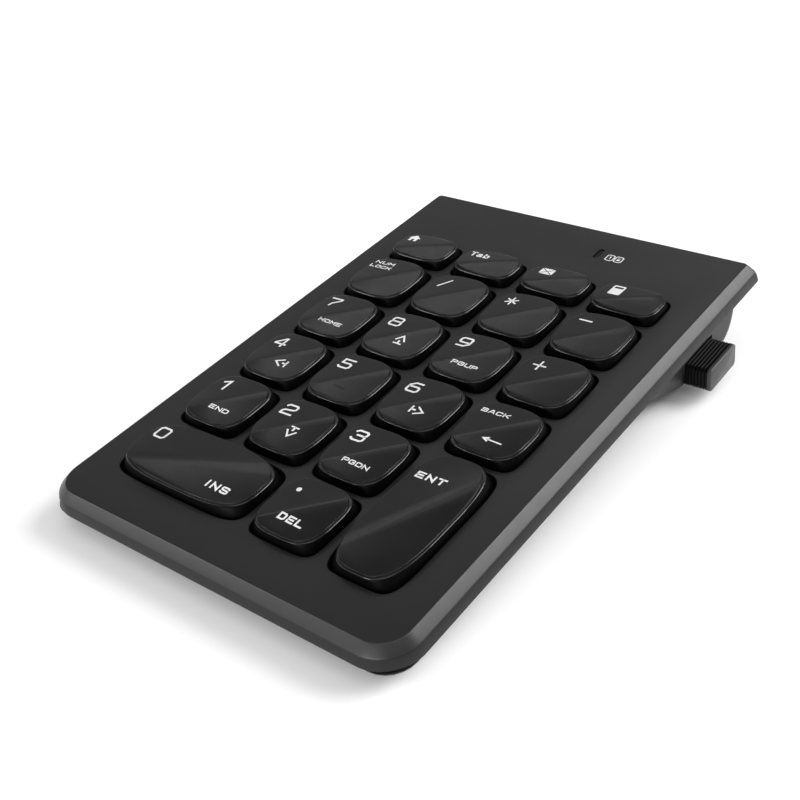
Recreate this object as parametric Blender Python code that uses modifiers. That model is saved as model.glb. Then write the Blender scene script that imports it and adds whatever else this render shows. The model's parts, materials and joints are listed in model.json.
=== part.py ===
"""A wireless numeric keypad: 22 keys on a thin case whose rear hump holds two AAA cells and the receiver.

Everything is modelled in the case's own frame: +X to the right, +Y to the rear, z = 0 on the flat top face.
The empty "case_frame" then tips it up at the rear so that the four feet stand level at z = 0.
"""

import math

import bmesh
import bpy
from mathutils import Matrix, Vector

MM = 0.001
GAP = 0.3 * MM
# How far a cutting shape reaches past the face it opens
CLEAR = 1.0 * MM
# Points closer than WELD are one point; TINY is a step small enough to take a slope over
WELD = 0.001 * MM
TINY = 0.01 * MM

# Case: the flat top face and the rim round it
TOP_HALF_X = 44.2 * MM
TOP_HALF_Y = 68.0 * MM
FRONT_CORNER = 6.3 * MM
REAR_CORNER = 1.0 * MM
REAR_CORNER_GROWTH = 0.4
SMALLEST_CORNER = 0.4 * MM
PLATE = 1.6 * MM
RIM_DEPTH = 4.6 * MM
CAVITY_HALF_X = 43.9 * MM
CAVITY_FRONT = -67.7 * MM
CAVITY_REAR = 66.9 * MM
CAVITY_FRONT_CORNER = 5.0 * MM
CAVITY_REAR_CORNER = 2.0 * MM
# How far the rim stands out beyond the top face at each depth: sides and front, rear, depth
RIM_PROFILE = (
    (-0.32 * MM, -0.50 * MM, 0.0 * MM),
    (-0.05 * MM, -0.15 * MM, 0.06 * MM),
    (0.20 * MM, 0.08 * MM, 0.22 * MM),
    (1.72 * MM, 0.85 * MM, 1.72 * MM),
    (1.92 * MM, 0.98 * MM, 1.98 * MM),
    (1.99 * MM, 1.15 * MM, 2.35 * MM),
    (2.30 * MM, 2.15 * MM, 4.35 * MM),
    (2.18 * MM, 2.15 * MM, RIM_DEPTH),
)

# Keys: centre distances, cap sizes and travel
PITCH_X = 19.0 * MM
PITCH_Y = 18.5 * MM
FRONT_ROW_Y = -49.7 * MM
FUNCTION_ROW_Y = 40.0 * MM
CAP_HALF_X = 8.14 * MM
CAP_HALF_Y = 8.30 * MM
FUNCTION_HALF_Y = 5.44 * MM
CAP_TOP = 2.6 * MM
CAP_CEILING = 1.2 * MM
CAP_SKIRT = -0.9 * MM
CAP_WALL = 1.1 * MM
CAP_FOLD = 0.22 * MM
CAP_RIM_LOW = 1.5 * MM
CAP_RIM_HIGH = 1.95 * MM
CAP_RIM_INSET = 0.45 * MM
# Powers of the cap's outlines: 2 is an ellipse, and higher powers are squarer
CAP_FOOT_POWER = 5.0
CAP_RIM_POWER = 3.5
CAP_TOP_POWER = 3.3
WELL_POWER = 6.0
TRAVEL = 2.0 * MM
WELL_CLEARANCE = 0.36 * MM
WELL_FLOOR = -3.2 * MM
FLOOR_UNDERSIDE = -4.1 * MM
FLOOR_MIDDLE = (WELL_FLOOR + FLOOR_UNDERSIDE) / 2
KEY_BED_HALF_X = 38.05 * MM
KEY_BED_FRONT = -59.45 * MM
KEY_BED_REAR = 47.2 * MM
STEM_RADIUS = 2.4 * MM
CHIMNEY_RADIUS = 3.4 * MM
CHIMNEY_TOP = -1.2 * MM
OUTLINE_POINTS = 24

# Layers under the keys, each given as (lower face, upper face)
DOME_TOP = -4.5 * MM
MAT = (-6.8 * MM, -6.5 * MM)
MEMBRANE = (-7.35 * MM, -7.05 * MM)
BACKPLATE = (-8.1 * MM, -7.6 * MM)
SHEET_HALF_X = 38.3 * MM
SHEET_FRONT = -59.3 * MM
SHEET_REAR = 47.6 * MM
SHEET_CORNER = 8.0 * MM
SHEET_REAR_CORNER = 2.0 * MM
DOME_BASE_RADIUS = 4.0 * MM
DOME_TOP_RADIUS = 2.0 * MM
DOME_SKIN = 0.5 * MM
DOME_SINK = 0.1 * MM

# Bottom case: a tray with a lip, and the hump across its rear
TRAY_FLOOR = -8.4 * MM
TRAY_UNDERSIDE = -9.6 * MM
TRAY_RIM = -4.9 * MM
LIP_TOP = -3.4 * MM
TRAY_CAVITY_HALF_X = 41.9 * MM
TRAY_CAVITY_FRONT = -65.6 * MM
TRAY_CAVITY_REAR = 64.9 * MM
TRAY_CAVITY_CORNER = 3.5 * MM
TRAY_FRONT_CORNER = 6.0 * MM
TRAY_REAR_CORNER = 2.0 * MM
# The tray's rings from the lip down: half width, front, rear, height
TRAY_PROFILE = (
    (43.4 * MM, -67.2 * MM, 66.4 * MM, LIP_TOP),
    (43.4 * MM, -67.2 * MM, 66.4 * MM, TRAY_RIM),
    (46.0 * MM, -69.8 * MM, 69.8 * MM, TRAY_RIM),
    (45.8 * MM, -69.6 * MM, 69.8 * MM, TRAY_RIM - 0.5 * MM),
    (42.6 * MM, -66.4 * MM, 69.5 * MM, TRAY_UNDERSIDE + 0.2 * MM),
    (42.3 * MM, -66.1 * MM, 69.5 * MM, TRAY_UNDERSIDE),
)
HUMP_HALF_X = 42.1 * MM
HUMP_FRONT = 8.0 * MM
HUMP_FLAT_FRONT = 48.0 * MM
HUMP_FLAT_REAR = 60.0 * MM
HUMP_REAR = 69.3 * MM
HUMP_TOP = -9.0 * MM
HUMP_BURIED = -5.2 * MM
HUMP_BOTTOM = -21.0 * MM
HUMP_EDGE = 4.5 * MM
HUMP_WALL = 1.5 * MM
VOID_HALF_X = 39.2 * MM
VOID_FRONT = 18.0 * MM
VOID_REAR = 66.5 * MM
VOID_TOP = TRAY_FLOOR + 0.9 * MM
SIDE_VOID_INNER = 27.9 * MM
FRONT_VOID_HALF_X = 26.4 * MM

# Battery compartment and cells
CELL_RADIUS = 5.0 * MM
CELL_LENGTH = 43.5 * MM
CELL_NUB_RADIUS = 1.9 * MM
CELL_NUB = 0.9 * MM
CELL_Z = -14.5 * MM
CELL_Y = (45.0 * MM, 55.5 * MM)
BAY_HALF_X = 25.0 * MM
BAY_FRONT = 39.7 * MM
BAY_REAR = 60.9 * MM
BAY_CEILING = -9.3 * MM
BAY_WALL = 1.7 * MM
CONTACT_X = 24.1 * MM
CONTACT_THICKNESS = 0.3 * MM
COVER_HALF_X = 25.7 * MM
COVER_THICKNESS = 1.1 * MM
COVER_LEDGE = 1.4 * MM
NOTCH_HALF_X = 5.0 * MM
NOTCH_LENGTH = 2.0 * MM
NOTCH_DEPTH = 0.9 * MM
CELL_EDGE = 0.5 * MM
CONTACT_HALF_Z = 3.4 * MM
CONTACT_REACH = 3.8 * MM
SPRING_WIRE = 0.3 * MM
SPRING_WIDE = 3.0 * MM
SPRING_NARROW = 2.0 * MM
SPRING_TURNS = 2.5

# Receiver: its ribbed body stands out of the hump's right side
RECEIVER_Y = 47.5 * MM
RECEIVER_Z = -15.2 * MM
RECEIVER_HALF_Y = 6.45 * MM
RECEIVER_HALF_Z = 2.95 * MM
RECEIVER_INNER = 40.1 * MM
RECEIVER_FIRST_RIB = 42.4 * MM
RECEIVER_OUTER = 48.1 * MM
RIB_PITCH = 0.8 * MM
RIB_COUNT = 6
RIB_GROOVE = 0.3 * MM
# Where a groove's floor starts and ends and where the next rib starts, from the edge of the rib before
GROOVE_STEPS = (0.1 * MM, 0.35 * MM, 0.45 * MM)
RECEIVER_CORNER = 1.1 * MM
RECEIVER_EDGE = 0.25 * MM
PLUG_HALF_Y = 6.0 * MM
PLUG_HALF_Z = 2.25 * MM
PLUG_TIP = 28.0 * MM
POCKET_END = 27.2 * MM
POCKET_CLEARANCE = 0.35 * MM
POCKET_STOP_GAP = 0.4 * MM
POCKET_BLOCK_HALF_Y = 8.3 * MM
PLUG_WALL = 0.35 * MM
PLUG_BACK = 0.6 * MM
TONGUE_SETBACK = 0.8 * MM
TONGUE_DROP = 0.1 * MM

# Power switch in the hump's left side
SWITCH_Y = 50.3 * MM
SWITCH_Z = -15.0 * MM
SWITCH_TRAVEL = 3.0 * MM
SWITCH_BODY_X = (-38.9 * MM, -35.4 * MM)
SWITCH_BODY_HALF_Y = 4.3 * MM
SWITCH_BODY_HALF_Z = 2.2 * MM
SWITCH_SEAT_X = (-38.6 * MM, -35.6 * MM)
SWITCH_SEAT_HALF_Y = 4.2 * MM
SWITCH_SLOT_HALF_Y = 3.5 * MM
SWITCH_SLOT_HALF_Z = 1.4 * MM
KNOB_HALF_Y = 1.5 * MM
KNOB_HALF_Z = 1.0 * MM
KNOB_STANDS_OUT = 0.9 * MM
KNOB_EDGE = 0.25 * MM

# Screws and feet
FRONT_SCREW = (37.8 * MM, -62.0 * MM)
REAR_SCREW = (33.5 * MM, 58.0 * MM)
HEAD_RADIUS = 2.0 * MM
HEAD_HEIGHT = 0.7 * MM
SHANK_RADIUS = 0.8 * MM
SHANK_LENGTH = 5.3 * MM
FRONT_HEAD_TOP = -8.9 * MM
REAR_HEAD_TOP = -9.8 * MM
HEAD_SIDE = 0.4 * MM
HEAD_EDGE = 0.4 * MM
RECESS_ARM = 1.1 * MM
RECESS_HALF_WIDTH = 0.22 * MM
# The two arms of the cross recess differ in depth so that their floors don't coincide
RECESS_DEPTHS = (0.4 * MM, 0.38 * MM)
SHANK_TIP = 0.8 * MM
SHANK_HOLE = (-10.0 * MM, -7.0 * MM)
BOSS_RADIUS = 2.2 * MM
FRONT_BOSS_END = -7.3 * MM
REAR_BOSS_END = -8.1 * MM
PILOT_END = -3.0 * MM
SUPPORT_RADIUS = 3.3 * MM
FRONT_PAD_TOP = -7.6 * MM
SUPPORT_SINK = 0.5 * MM
SEAT_SINK = 0.8 * MM
FRONT_FOOT = (30.0 * MM, -60.5 * MM)
REAR_FOOT = (33.5 * MM, 49.0 * MM)
FOOT_RADIUS = 3.2 * MM
FOOT_RECESS = 0.5 * MM
FOOT_STANDS_OUT = 1.0 * MM
FOOT_CHAMFER = 0.3 * MM

# Light guide over the status light
LIGHT_X = 10.6 * MM
LIGHT_Y = 58.05 * MM
LIGHT_HALF_X = 0.45 * MM
LIGHT_HALF_Y = 1.8 * MM
LIGHT_TOP = -0.25 * MM
LIGHT_BOTTOM = -4.2 * MM
LED_HALF_X = 0.4 * MM
LED_HALF_Y = 0.8 * MM
LED_HEIGHT = 0.6 * MM

# Control board
BOARD = (-6.4 * MM, -5.4 * MM)
BOARD_LEFT = -22.0 * MM
BOARD_RIGHT = 28.0 * MM
BOARD_FRONT = 48.5 * MM
BOARD_REAR = 64.0 * MM
BOARD_POSTS = ((-18.0 * MM, 52.0 * MM), (18.0 * MM, 52.0 * MM), (0.0 * MM, 61.5 * MM))
POST_RADIUS = 1.5 * MM
CHIP_CENTRE = (-8.0 * MM, 57.0 * MM)
CHIP_HALF = 2.5 * MM
CHIP_HEIGHT = 0.9 * MM

# Stabiliser bars of the two long keys, across the key (v) and along it (u)
BAR_RADIUS = 0.45 * MM
BAR_PIVOT_V = 5.0 * MM
BAR_PIVOT_Z = -2.45 * MM
BAR_HALF_LENGTH = 13.5 * MM
BAR_END_V = -2.0 * MM
BAR_END_Z = 0.4 * MM
BAR_END_U = 11.4 * MM
CLIP_U = 8.0 * MM
CLIP_HALF = 0.6 * MM
CLIP_POST = 0.65 * MM
CLIP_TOP = -1.9 * MM
TAB_U = (11.9 * MM, 12.75 * MM)
TAB_V = (-4.0 * MM, -0.5 * MM)
TAB_SLOT_V = (-3.25 * MM, -1.25 * MM)
TAB_SLOT_Z = (-0.3 * MM, 1.1 * MM)

FOOT_BOTTOM_FRONT = TRAY_UNDERSIDE - FOOT_STANDS_OUT
FOOT_BOTTOM_REAR = HUMP_BOTTOM - FOOT_STANDS_OUT
TILT = math.atan2(FOOT_BOTTOM_FRONT - FOOT_BOTTOM_REAR, REAR_FOOT[1] - FRONT_FOOT[1])

# Caps: name, column and row (in pitches from the middle column and the front row), columns and rows covered
KEYS = (
    ("key_0", -1.0, 0.0, 2, 1),
    ("key_decimal", 0.5, 0.0, 1, 1),
    ("key_enter", 1.5, 0.5, 1, 2),
    ("key_1", -1.5, 1.0, 1, 1),
    ("key_2", -0.5, 1.0, 1, 1),
    ("key_3", 0.5, 1.0, 1, 1),
    ("key_4", -1.5, 2.0, 1, 1),
    ("key_5", -0.5, 2.0, 1, 1),
    ("key_6", 0.5, 2.0, 1, 1),
    ("key_backspace", 1.5, 2.0, 1, 1),
    ("key_7", -1.5, 3.0, 1, 1),
    ("key_8", -0.5, 3.0, 1, 1),
    ("key_9", 0.5, 3.0, 1, 1),
    ("key_plus", 1.5, 3.0, 1, 1),
    ("key_num_lock", -1.5, 4.0, 1, 1),
    ("key_divide", -0.5, 4.0, 1, 1),
    ("key_multiply", 0.5, 4.0, 1, 1),
    ("key_minus", 1.5, 4.0, 1, 1),
)
FUNCTION_KEYS = ("key_home", "key_tab", "key_mail", "key_calculator")


def clear_scene():
    for obj in list(bpy.data.objects):
        bpy.data.objects.remove(obj, do_unlink=True)


def new_collection(name):
    collection = bpy.data.collections.new(name)
    bpy.context.scene.collection.children.link(collection)
    return collection


def material(name, colour, roughness, metallic=0.0):
    made = bpy.data.materials.new(name)
    made.use_nodes = True
    shader = made.node_tree.nodes["Principled BSDF"]
    shader.inputs["Base Color"].default_value = (*colour, 1.0)
    shader.inputs["Roughness"].default_value = roughness
    shader.inputs["Metallic"].default_value = metallic
    made.diffuse_color = (*colour, 1.0)
    return made


def place(name, mesh, finish=None, cutter=False):
    """A new object on the case frame: a part with its material, or a cutter."""
    obj = bpy.data.objects.new(name, mesh)
    obj.parent = CASE_FRAME
    if cutter:
        CUTTERS.objects.link(obj)
        obj.hide_render = True
        obj.display_type = "WIRE"
        return obj
    PARTS.objects.link(obj)
    mesh.materials.clear()
    mesh.materials.append(finish)
    return obj


def mesh_of(name, bm):
    bmesh.ops.recalc_face_normals(bm, faces=bm.faces)
    mesh = bpy.data.meshes.new(name)
    bm.to_mesh(mesh)
    bm.free()
    return mesh


def add_box(bm, low, high):
    """A box between two corners, in an existing bmesh."""
    low = Vector(low)
    high = Vector(high)
    centre = Matrix.Translation((low + high) / 2)
    size = Matrix.Diagonal((*(high - low), 1.0))
    bmesh.ops.create_cube(bm, size=1.0, matrix=centre @ size)


def add_cone(bm, x, y, low, high, low_radius, high_radius, segments):
    """An upright cylinder or frustum between two heights, in an existing bmesh."""
    bmesh.ops.create_cone(
        bm,
        cap_ends=True,
        segments=segments,
        radius1=low_radius,
        radius2=high_radius,
        depth=high - low,
        matrix=Matrix.Translation((x, y, (low + high) / 2)),
    )


def box_mesh(name, low, high):
    bm = bmesh.new()
    add_box(bm, low, high)
    return mesh_of(name, bm)


def baked(obj):
    """The object's evaluated mesh, with its caps welded; the object itself goes."""
    graph = bpy.context.evaluated_depsgraph_get()
    mesh = bpy.data.meshes.new_from_object(obj.evaluated_get(graph))
    bm = bmesh.new()
    bm.from_mesh(mesh)
    bmesh.ops.remove_doubles(bm, verts=bm.verts, dist=WELD)
    bm.to_mesh(mesh)
    bm.free()
    mesh.name = obj.name
    bpy.data.objects.remove(obj, do_unlink=True)
    return mesh


def boolean(obj, operation, cutter):
    modifier = obj.modifiers.new(operation.lower(), "BOOLEAN")
    modifier.operation = operation
    modifier.solver = "EXACT"
    modifier.object = cutter


def soften(obj, width, segments=2):
    modifier = obj.modifiers.new("soften", "BEVEL")
    modifier.width = width
    modifier.segments = segments
    modifier.limit_method = "ANGLE"


def smooth(obj, degrees=40):
    obj.data.shade_smooth()
    obj.data.set_sharp_from_angle(angle=math.radians(degrees))


def superellipse(half_x, half_y, power, count=OUTLINE_POINTS):
    points = []
    for step in range(count):
        turn = 2 * math.pi * step / count
        cosine = math.cos(turn)
        sine = math.sin(turn)
        x = half_x * math.copysign(abs(cosine) ** (2 / power), cosine)
        y = half_y * math.copysign(abs(sine) ** (2 / power), sine)
        points.append((x, y))
    return points


def rounded_outline(half_x, front, rear, front_radius, rear_radius, steps=6):
    """A rectangle with its own corner radius at the front and at the rear, anticlockwise."""
    corners = (
        (half_x - rear_radius, rear - rear_radius, rear_radius, 0),
        (-half_x + rear_radius, rear - rear_radius, rear_radius, 90),
        (-half_x + front_radius, front + front_radius, front_radius, 180),
        (half_x - front_radius, front + front_radius, front_radius, 270),
    )
    points = []
    for x, y, radius, start in corners:
        for step in range(steps + 1):
            turn = math.radians(start + 90 * step / steps)
            points.append((x + radius * math.cos(turn), y + radius * math.sin(turn)))
    return points


def at_height(outline, z):
    return [(x, y, z) for x, y in outline]


def loft(name, rings, split_last=None):
    """A closed skin over rings of equal length; split_last folds the last cap between two of its points."""
    bm = bmesh.new()
    rows = [[bm.verts.new(point) for point in ring] for ring in rings]
    count = len(rows[0])
    for lower, upper in zip(rows, rows[1:]):
        for index in range(count):
            following = (index + 1) % count
            bm.faces.new((lower[index], lower[following], upper[following], upper[index]))
    bm.faces.new(rows[0])
    if split_last is None:
        bm.faces.new(rows[-1])
    else:
        first, second = split_last
        bm.faces.new(rows[-1][first : second + 1])
        bm.faces.new(rows[-1][second:] + rows[-1][: first + 1])
    return mesh_of(name, bm)


def flat_sheet(name, outline, faces):
    """A flat sheet of an outline, between a lower and an upper face."""
    low, high = faces
    curve = bpy.data.curves.new(name, "CURVE")
    curve.dimensions = "2D"
    curve.fill_mode = "BOTH"
    curve.extrude = (high - low) / 2
    spline = curve.splines.new("POLY")
    spline.points.add(len(outline) - 1)
    for point, (x, y) in zip(spline.points, outline):
        point.co = (x, y, 0.0, 1.0)
    spline.use_cyclic_u = True
    obj = bpy.data.objects.new(name, curve)
    bpy.context.scene.collection.objects.link(obj)
    mesh = baked(obj)
    mesh.transform(Matrix.Translation((0.0, 0.0, (low + high) / 2)))
    return mesh


def turned(name, profile, steps, matrix):
    """A solid of revolution about Z from (radius, height) points, top to bottom, then moved by a matrix."""
    mesh = bpy.data.meshes.new(name)
    points = [(radius, 0.0, height) for radius, height in profile]
    mesh.from_pydata(points, [(i, i + 1) for i in range(len(points) - 1)], [])
    obj = bpy.data.objects.new(name, mesh)
    bpy.context.scene.collection.objects.link(obj)
    screw = obj.modifiers.new("turn", "SCREW")
    screw.steps = steps
    screw.render_steps = steps
    screw.use_merge_vertices = True
    screw.merge_threshold = 0.00001
    solid = baked(obj)
    solid.transform(matrix)
    return solid


def wire(name, points, radius):
    """A round wire along points, as a mesh."""
    curve = bpy.data.curves.new(name, "CURVE")
    curve.dimensions = "3D"
    curve.bevel_depth = radius
    curve.bevel_resolution = 1
    curve.use_fill_caps = True
    spline = curve.splines.new("POLY")
    spline.points.add(len(points) - 1)
    for point, position in zip(spline.points, points):
        point.co = (*position, 1.0)
    obj = bpy.data.objects.new(name, curve)
    bpy.context.scene.collection.objects.link(obj)
    return baked(obj)


def key_layout():
    """Each key as (name, x, y, half width, half depth)."""
    layout = []
    for name, column, row, columns, rows in KEYS:
        half_x = CAP_HALF_X + (columns - 1) * PITCH_X / 2
        half_y = CAP_HALF_Y + (rows - 1) * PITCH_Y / 2
        layout.append((name, column * PITCH_X, FRONT_ROW_Y + row * PITCH_Y, half_x, half_y))
    for index, name in enumerate(FUNCTION_KEYS):
        layout.append((name, (index - 1.5) * PITCH_X, FUNCTION_ROW_Y, CAP_HALF_X, FUNCTION_HALF_Y))
    return layout


def long_keys():
    """The two keys that have a stabiliser bar: (name, x, y, lies along x)."""
    return [(name, x, y, half_x > half_y) for name, x, y, half_x, half_y in key_layout()
            if name in ("key_0", "key_enter")]


def along_key(u, v, along_x):
    """A point given along and across a long key, as x and y; the bar is at the rear or at the right."""
    return (u, v) if along_x else (v, u)


# Top case

def rim_ring(side, rear, depth):
    outline = rounded_outline(
        TOP_HALF_X + side,
        -TOP_HALF_Y - side,
        TOP_HALF_Y + rear,
        FRONT_CORNER + side,
        max(REAR_CORNER + rear * REAR_CORNER_GROWTH, SMALLEST_CORNER),
    )
    return at_height(outline, -depth)


def key_wells():
    bm = bmesh.new()
    for name, x, y, half_x, half_y in key_layout():
        outline = superellipse(half_x + WELL_CLEARANCE, half_y + WELL_CLEARANCE, WELL_POWER)
        rows = [
            [bm.verts.new((x + px, y + py, z)) for px, py in outline] for z in (WELL_FLOOR, CLEAR)
        ]
        for index in range(len(outline)):
            following = (index + 1) % len(outline)
            bm.faces.new((rows[0][index], rows[0][following], rows[1][following], rows[1][index]))
        bm.faces.new(rows[0])
        bm.faces.new(rows[1])
    return mesh_of("key_wells", bm)


def key_columns(name, radius, low, high, segments=8):
    """One upright cylinder at every key."""
    bm = bmesh.new()
    for key, x, y, half_x, half_y in key_layout():
        add_cone(bm, x, y, low, high, radius, radius, segments)
    return mesh_of(name, bm)


def bar_clips():
    """Posts on the well floors, either side of each stabiliser bar."""
    bm = bmesh.new()
    inner = BAR_RADIUS + GAP
    outer = inner + CLIP_POST
    for name, x, y, along_x in long_keys():
        for u in (-CLIP_U, CLIP_U):
            for near, far in ((-outer, -inner), (inner, outer)):
                a = along_key(u - CLIP_HALF, BAR_PIVOT_V + near, along_x)
                b = along_key(u + CLIP_HALF, BAR_PIVOT_V + far, along_x)
                add_box(bm, (x + a[0], y + a[1], FLOOR_MIDDLE), (x + b[0], y + b[1], CLIP_TOP))
    return mesh_of("bar_clips", bm)


def screw_bosses():
    bm = bmesh.new()
    root = -PLATE / 2
    for side in (-1, 1):
        for (x, y), end in ((FRONT_SCREW, FRONT_BOSS_END), (REAR_SCREW, REAR_BOSS_END)):
            add_cone(bm, side * x, y, end, root, BOSS_RADIUS, BOSS_RADIUS, 12)
    return mesh_of("screw_bosses", bm)


def screw_holes(name, radius, front, rear):
    """Upright holes at the four screws, between heights given for the front and for the rear pair."""
    bm = bmesh.new()
    for side in (-1, 1):
        add_cone(bm, side * FRONT_SCREW[0], FRONT_SCREW[1], *front, radius, radius, 12)
        add_cone(bm, side * REAR_SCREW[0], REAR_SCREW[1], *rear, radius, radius, 12)
    return mesh_of(name, bm)


def make_top_case():
    case = place("top_case", loft("top_case", [rim_ring(*row) for row in RIM_PROFILE]), CASE_BLACK)
    cavity = rounded_outline(
        CAVITY_HALF_X, CAVITY_FRONT, CAVITY_REAR, CAVITY_FRONT_CORNER, CAVITY_REAR_CORNER, 4
    )
    cavity_mesh = loft("case_cavity", [at_height(cavity, -RIM_DEPTH - CLEAR), at_height(cavity, -PLATE)])
    boolean(case, "DIFFERENCE", place("case_cavity", cavity_mesh, cutter=True))
    bed = box_mesh(
        "key_bed",
        (-KEY_BED_HALF_X, KEY_BED_FRONT, FLOOR_UNDERSIDE),
        (KEY_BED_HALF_X, KEY_BED_REAR, -PLATE / 2),
    )
    boolean(case, "UNION", place("key_bed", bed, cutter=True))
    boolean(case, "UNION", place("screw_bosses", screw_bosses(), cutter=True))
    boolean(case, "DIFFERENCE", place("key_wells", key_wells(), cutter=True))
    chimneys = key_columns("chimneys", CHIMNEY_RADIUS, FLOOR_MIDDLE, CHIMNEY_TOP)
    boolean(case, "UNION", place("chimneys", chimneys, cutter=True))
    boolean(case, "UNION", place("bar_clips", bar_clips(), cutter=True))
    bores = key_columns("stem_bores", STEM_RADIUS + GAP, FLOOR_UNDERSIDE - CLEAR, 0.0)
    boolean(case, "DIFFERENCE", place("stem_bores", bores, cutter=True))
    pilot = (REAR_BOSS_END - CLEAR, PILOT_END)
    pilots = screw_holes("pilot_holes", SHANK_RADIUS + GAP, pilot, pilot)
    boolean(case, "DIFFERENCE", place("pilot_holes", pilots, cutter=True))
    slit = box_mesh(
        "light_slit",
        (LIGHT_X - LIGHT_HALF_X - GAP, LIGHT_Y - LIGHT_HALF_Y - GAP, -PLATE - CLEAR),
        (LIGHT_X + LIGHT_HALF_X + GAP, LIGHT_Y + LIGHT_HALF_Y + GAP, CLEAR),
    )
    boolean(case, "DIFFERENCE", place("light_slit", slit, cutter=True))


# Keycaps

def bar_tabs(half_x, half_y):
    """Tabs under a long cap that hold the ends of its stabiliser bar."""
    along_x = half_x > half_y
    bm = bmesh.new()
    for side in (-1, 1):
        ends = sorted(side * u for u in TAB_U)
        a = along_key(ends[0], TAB_V[0], along_x)
        b = along_key(ends[1], TAB_V[1], along_x)
        add_box(bm, (*a, CAP_SKIRT), (*b, CAP_CEILING + GAP))
    return mesh_of("bar_tabs", bm)


def bar_slots(half_x, half_y):
    """The openings in the tabs in which the bar's ends slide."""
    along_x = half_x > half_y
    bm = bmesh.new()
    for side in (-1, 1):
        ends = sorted((side * (TAB_U[0] - CLEAR), side * (TAB_U[1] + CLEAR)))
        a = along_key(ends[0], TAB_SLOT_V[0], along_x)
        b = along_key(ends[1], TAB_SLOT_V[1], along_x)
        add_box(bm, (*a, TAB_SLOT_Z[0]), (*b, TAB_SLOT_Z[1]))
    return mesh_of("bar_slots", bm)


def cap_mesh(name, half_x, half_y):
    """A hollow cap: a squarer foot, a round-cornered rim, a top folded along its diagonal, and a stem."""
    top = []
    for x, y in superellipse(half_x - CAP_RIM_INSET, half_y - CAP_RIM_INSET, CAP_TOP_POWER):
        lean = abs(x / half_x - y / half_y)
        top.append((x, y, CAP_TOP - CAP_FOLD * lean))
    rings = [
        at_height(superellipse(half_x, half_y, CAP_FOOT_POWER), CAP_SKIRT),
        at_height(superellipse(half_x, half_y, CAP_RIM_POWER), CAP_RIM_LOW),
        at_height(superellipse(half_x, half_y, CAP_TOP_POWER), CAP_RIM_HIGH),
        top,
    ]
    eighth = OUTLINE_POINTS // 8
    cap = place(name, loft(name, rings, (eighth, 5 * eighth)), CAP_BLACK)
    hollow = superellipse(half_x - CAP_WALL, half_y - CAP_WALL, CAP_FOOT_POWER, 16)
    hollow_mesh = loft("hollow", [at_height(hollow, CAP_SKIRT - CLEAR), at_height(hollow, CAP_CEILING)])
    helpers = [("DIFFERENCE", place("hollow", hollow_mesh, cutter=True))]
    bm = bmesh.new()
    stem_tip = DOME_TOP + GAP
    add_cone(bm, 0.0, 0.0, stem_tip, CAP_CEILING + GAP, STEM_RADIUS, STEM_RADIUS, 8)
    helpers.append(("UNION", place("stem", mesh_of("stem", bm), cutter=True)))
    if max(half_x, half_y) > PITCH_X / 2:
        helpers.append(("UNION", place("bar_tabs", bar_tabs(half_x, half_y), cutter=True)))
        helpers.append(("DIFFERENCE", place("bar_slots", bar_slots(half_x, half_y), cutter=True)))
    for operation, cutter in helpers:
        boolean(cap, operation, cutter)
    mesh = baked(cap)
    for operation, cutter in helpers:
        bpy.data.objects.remove(cutter, do_unlink=True)
    return mesh


def make_keycaps():
    """Caps of one size share a mesh."""
    shared = {}
    for name, x, y, half_x, half_y in key_layout():
        size = (half_x, half_y)
        if size not in shared:
            shared[size] = cap_mesh(name, half_x, half_y)
        cap = place(name, shared[size], CAP_BLACK)
        cap.location = (x, y, 0.0)
        smooth(cap, 25)


def make_bars():
    """A bent wire under each long key: it turns in its clips as its ends follow the cap."""
    for name, x, y, along_x in long_keys():
        route = (
            (-BAR_END_U, BAR_END_V, BAR_END_Z),
            (-BAR_HALF_LENGTH, BAR_END_V, BAR_END_Z),
            (-BAR_HALF_LENGTH, BAR_PIVOT_V, BAR_PIVOT_Z),
            (BAR_HALF_LENGTH, BAR_PIVOT_V, BAR_PIVOT_Z),
            (BAR_HALF_LENGTH, BAR_END_V, BAR_END_Z),
            (BAR_END_U, BAR_END_V, BAR_END_Z),
        )
        points = []
        for u, v, z in route:
            across = along_key(u, v - BAR_PIVOT_V, along_x)
            points.append((across[0], across[1], z - BAR_PIVOT_Z))
        bar = place(name.replace("key", "stabiliser"), wire("bar", points, BAR_RADIUS), STEEL)
        pivot = along_key(0.0, BAR_PIVOT_V, along_x)
        bar.location = (x + pivot[0], y + pivot[1], BAR_PIVOT_Z)
        smooth(bar)


# Layers under the keys

def make_layers():
    outline = rounded_outline(
        SHEET_HALF_X, SHEET_FRONT, SHEET_REAR, SHEET_CORNER, SHEET_REAR_CORNER, 4
    )
    mat = place("dome_mat", flat_sheet("dome_mat", outline, MAT), SILICONE)
    outside = bmesh.new()
    inside = bmesh.new()
    foot = MAT[0] + DOME_SINK
    inner_base_radius = DOME_BASE_RADIUS + GAP
    inner_top_radius = DOME_TOP_RADIUS - DOME_SKIN
    for name, x, y, half_x, half_y in key_layout():
        add_cone(outside, x, y, foot, DOME_TOP, DOME_BASE_RADIUS, DOME_TOP_RADIUS, 8)
        low = MAT[0] - CLEAR
        high = DOME_TOP - DOME_SKIN
        add_cone(inside, x, y, low, high, inner_base_radius, inner_top_radius, 8)
    boolean(mat, "UNION", place("domes", mesh_of("domes", outside), cutter=True))
    boolean(mat, "DIFFERENCE", place("dome_hollows", mesh_of("dome_hollows", inside), cutter=True))
    place("switch_membrane", flat_sheet("switch_membrane", outline, MEMBRANE), FILM)
    place("backing_plate", flat_sheet("backing_plate", outline, BACKPLATE), STEEL)


# Bottom case

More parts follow.
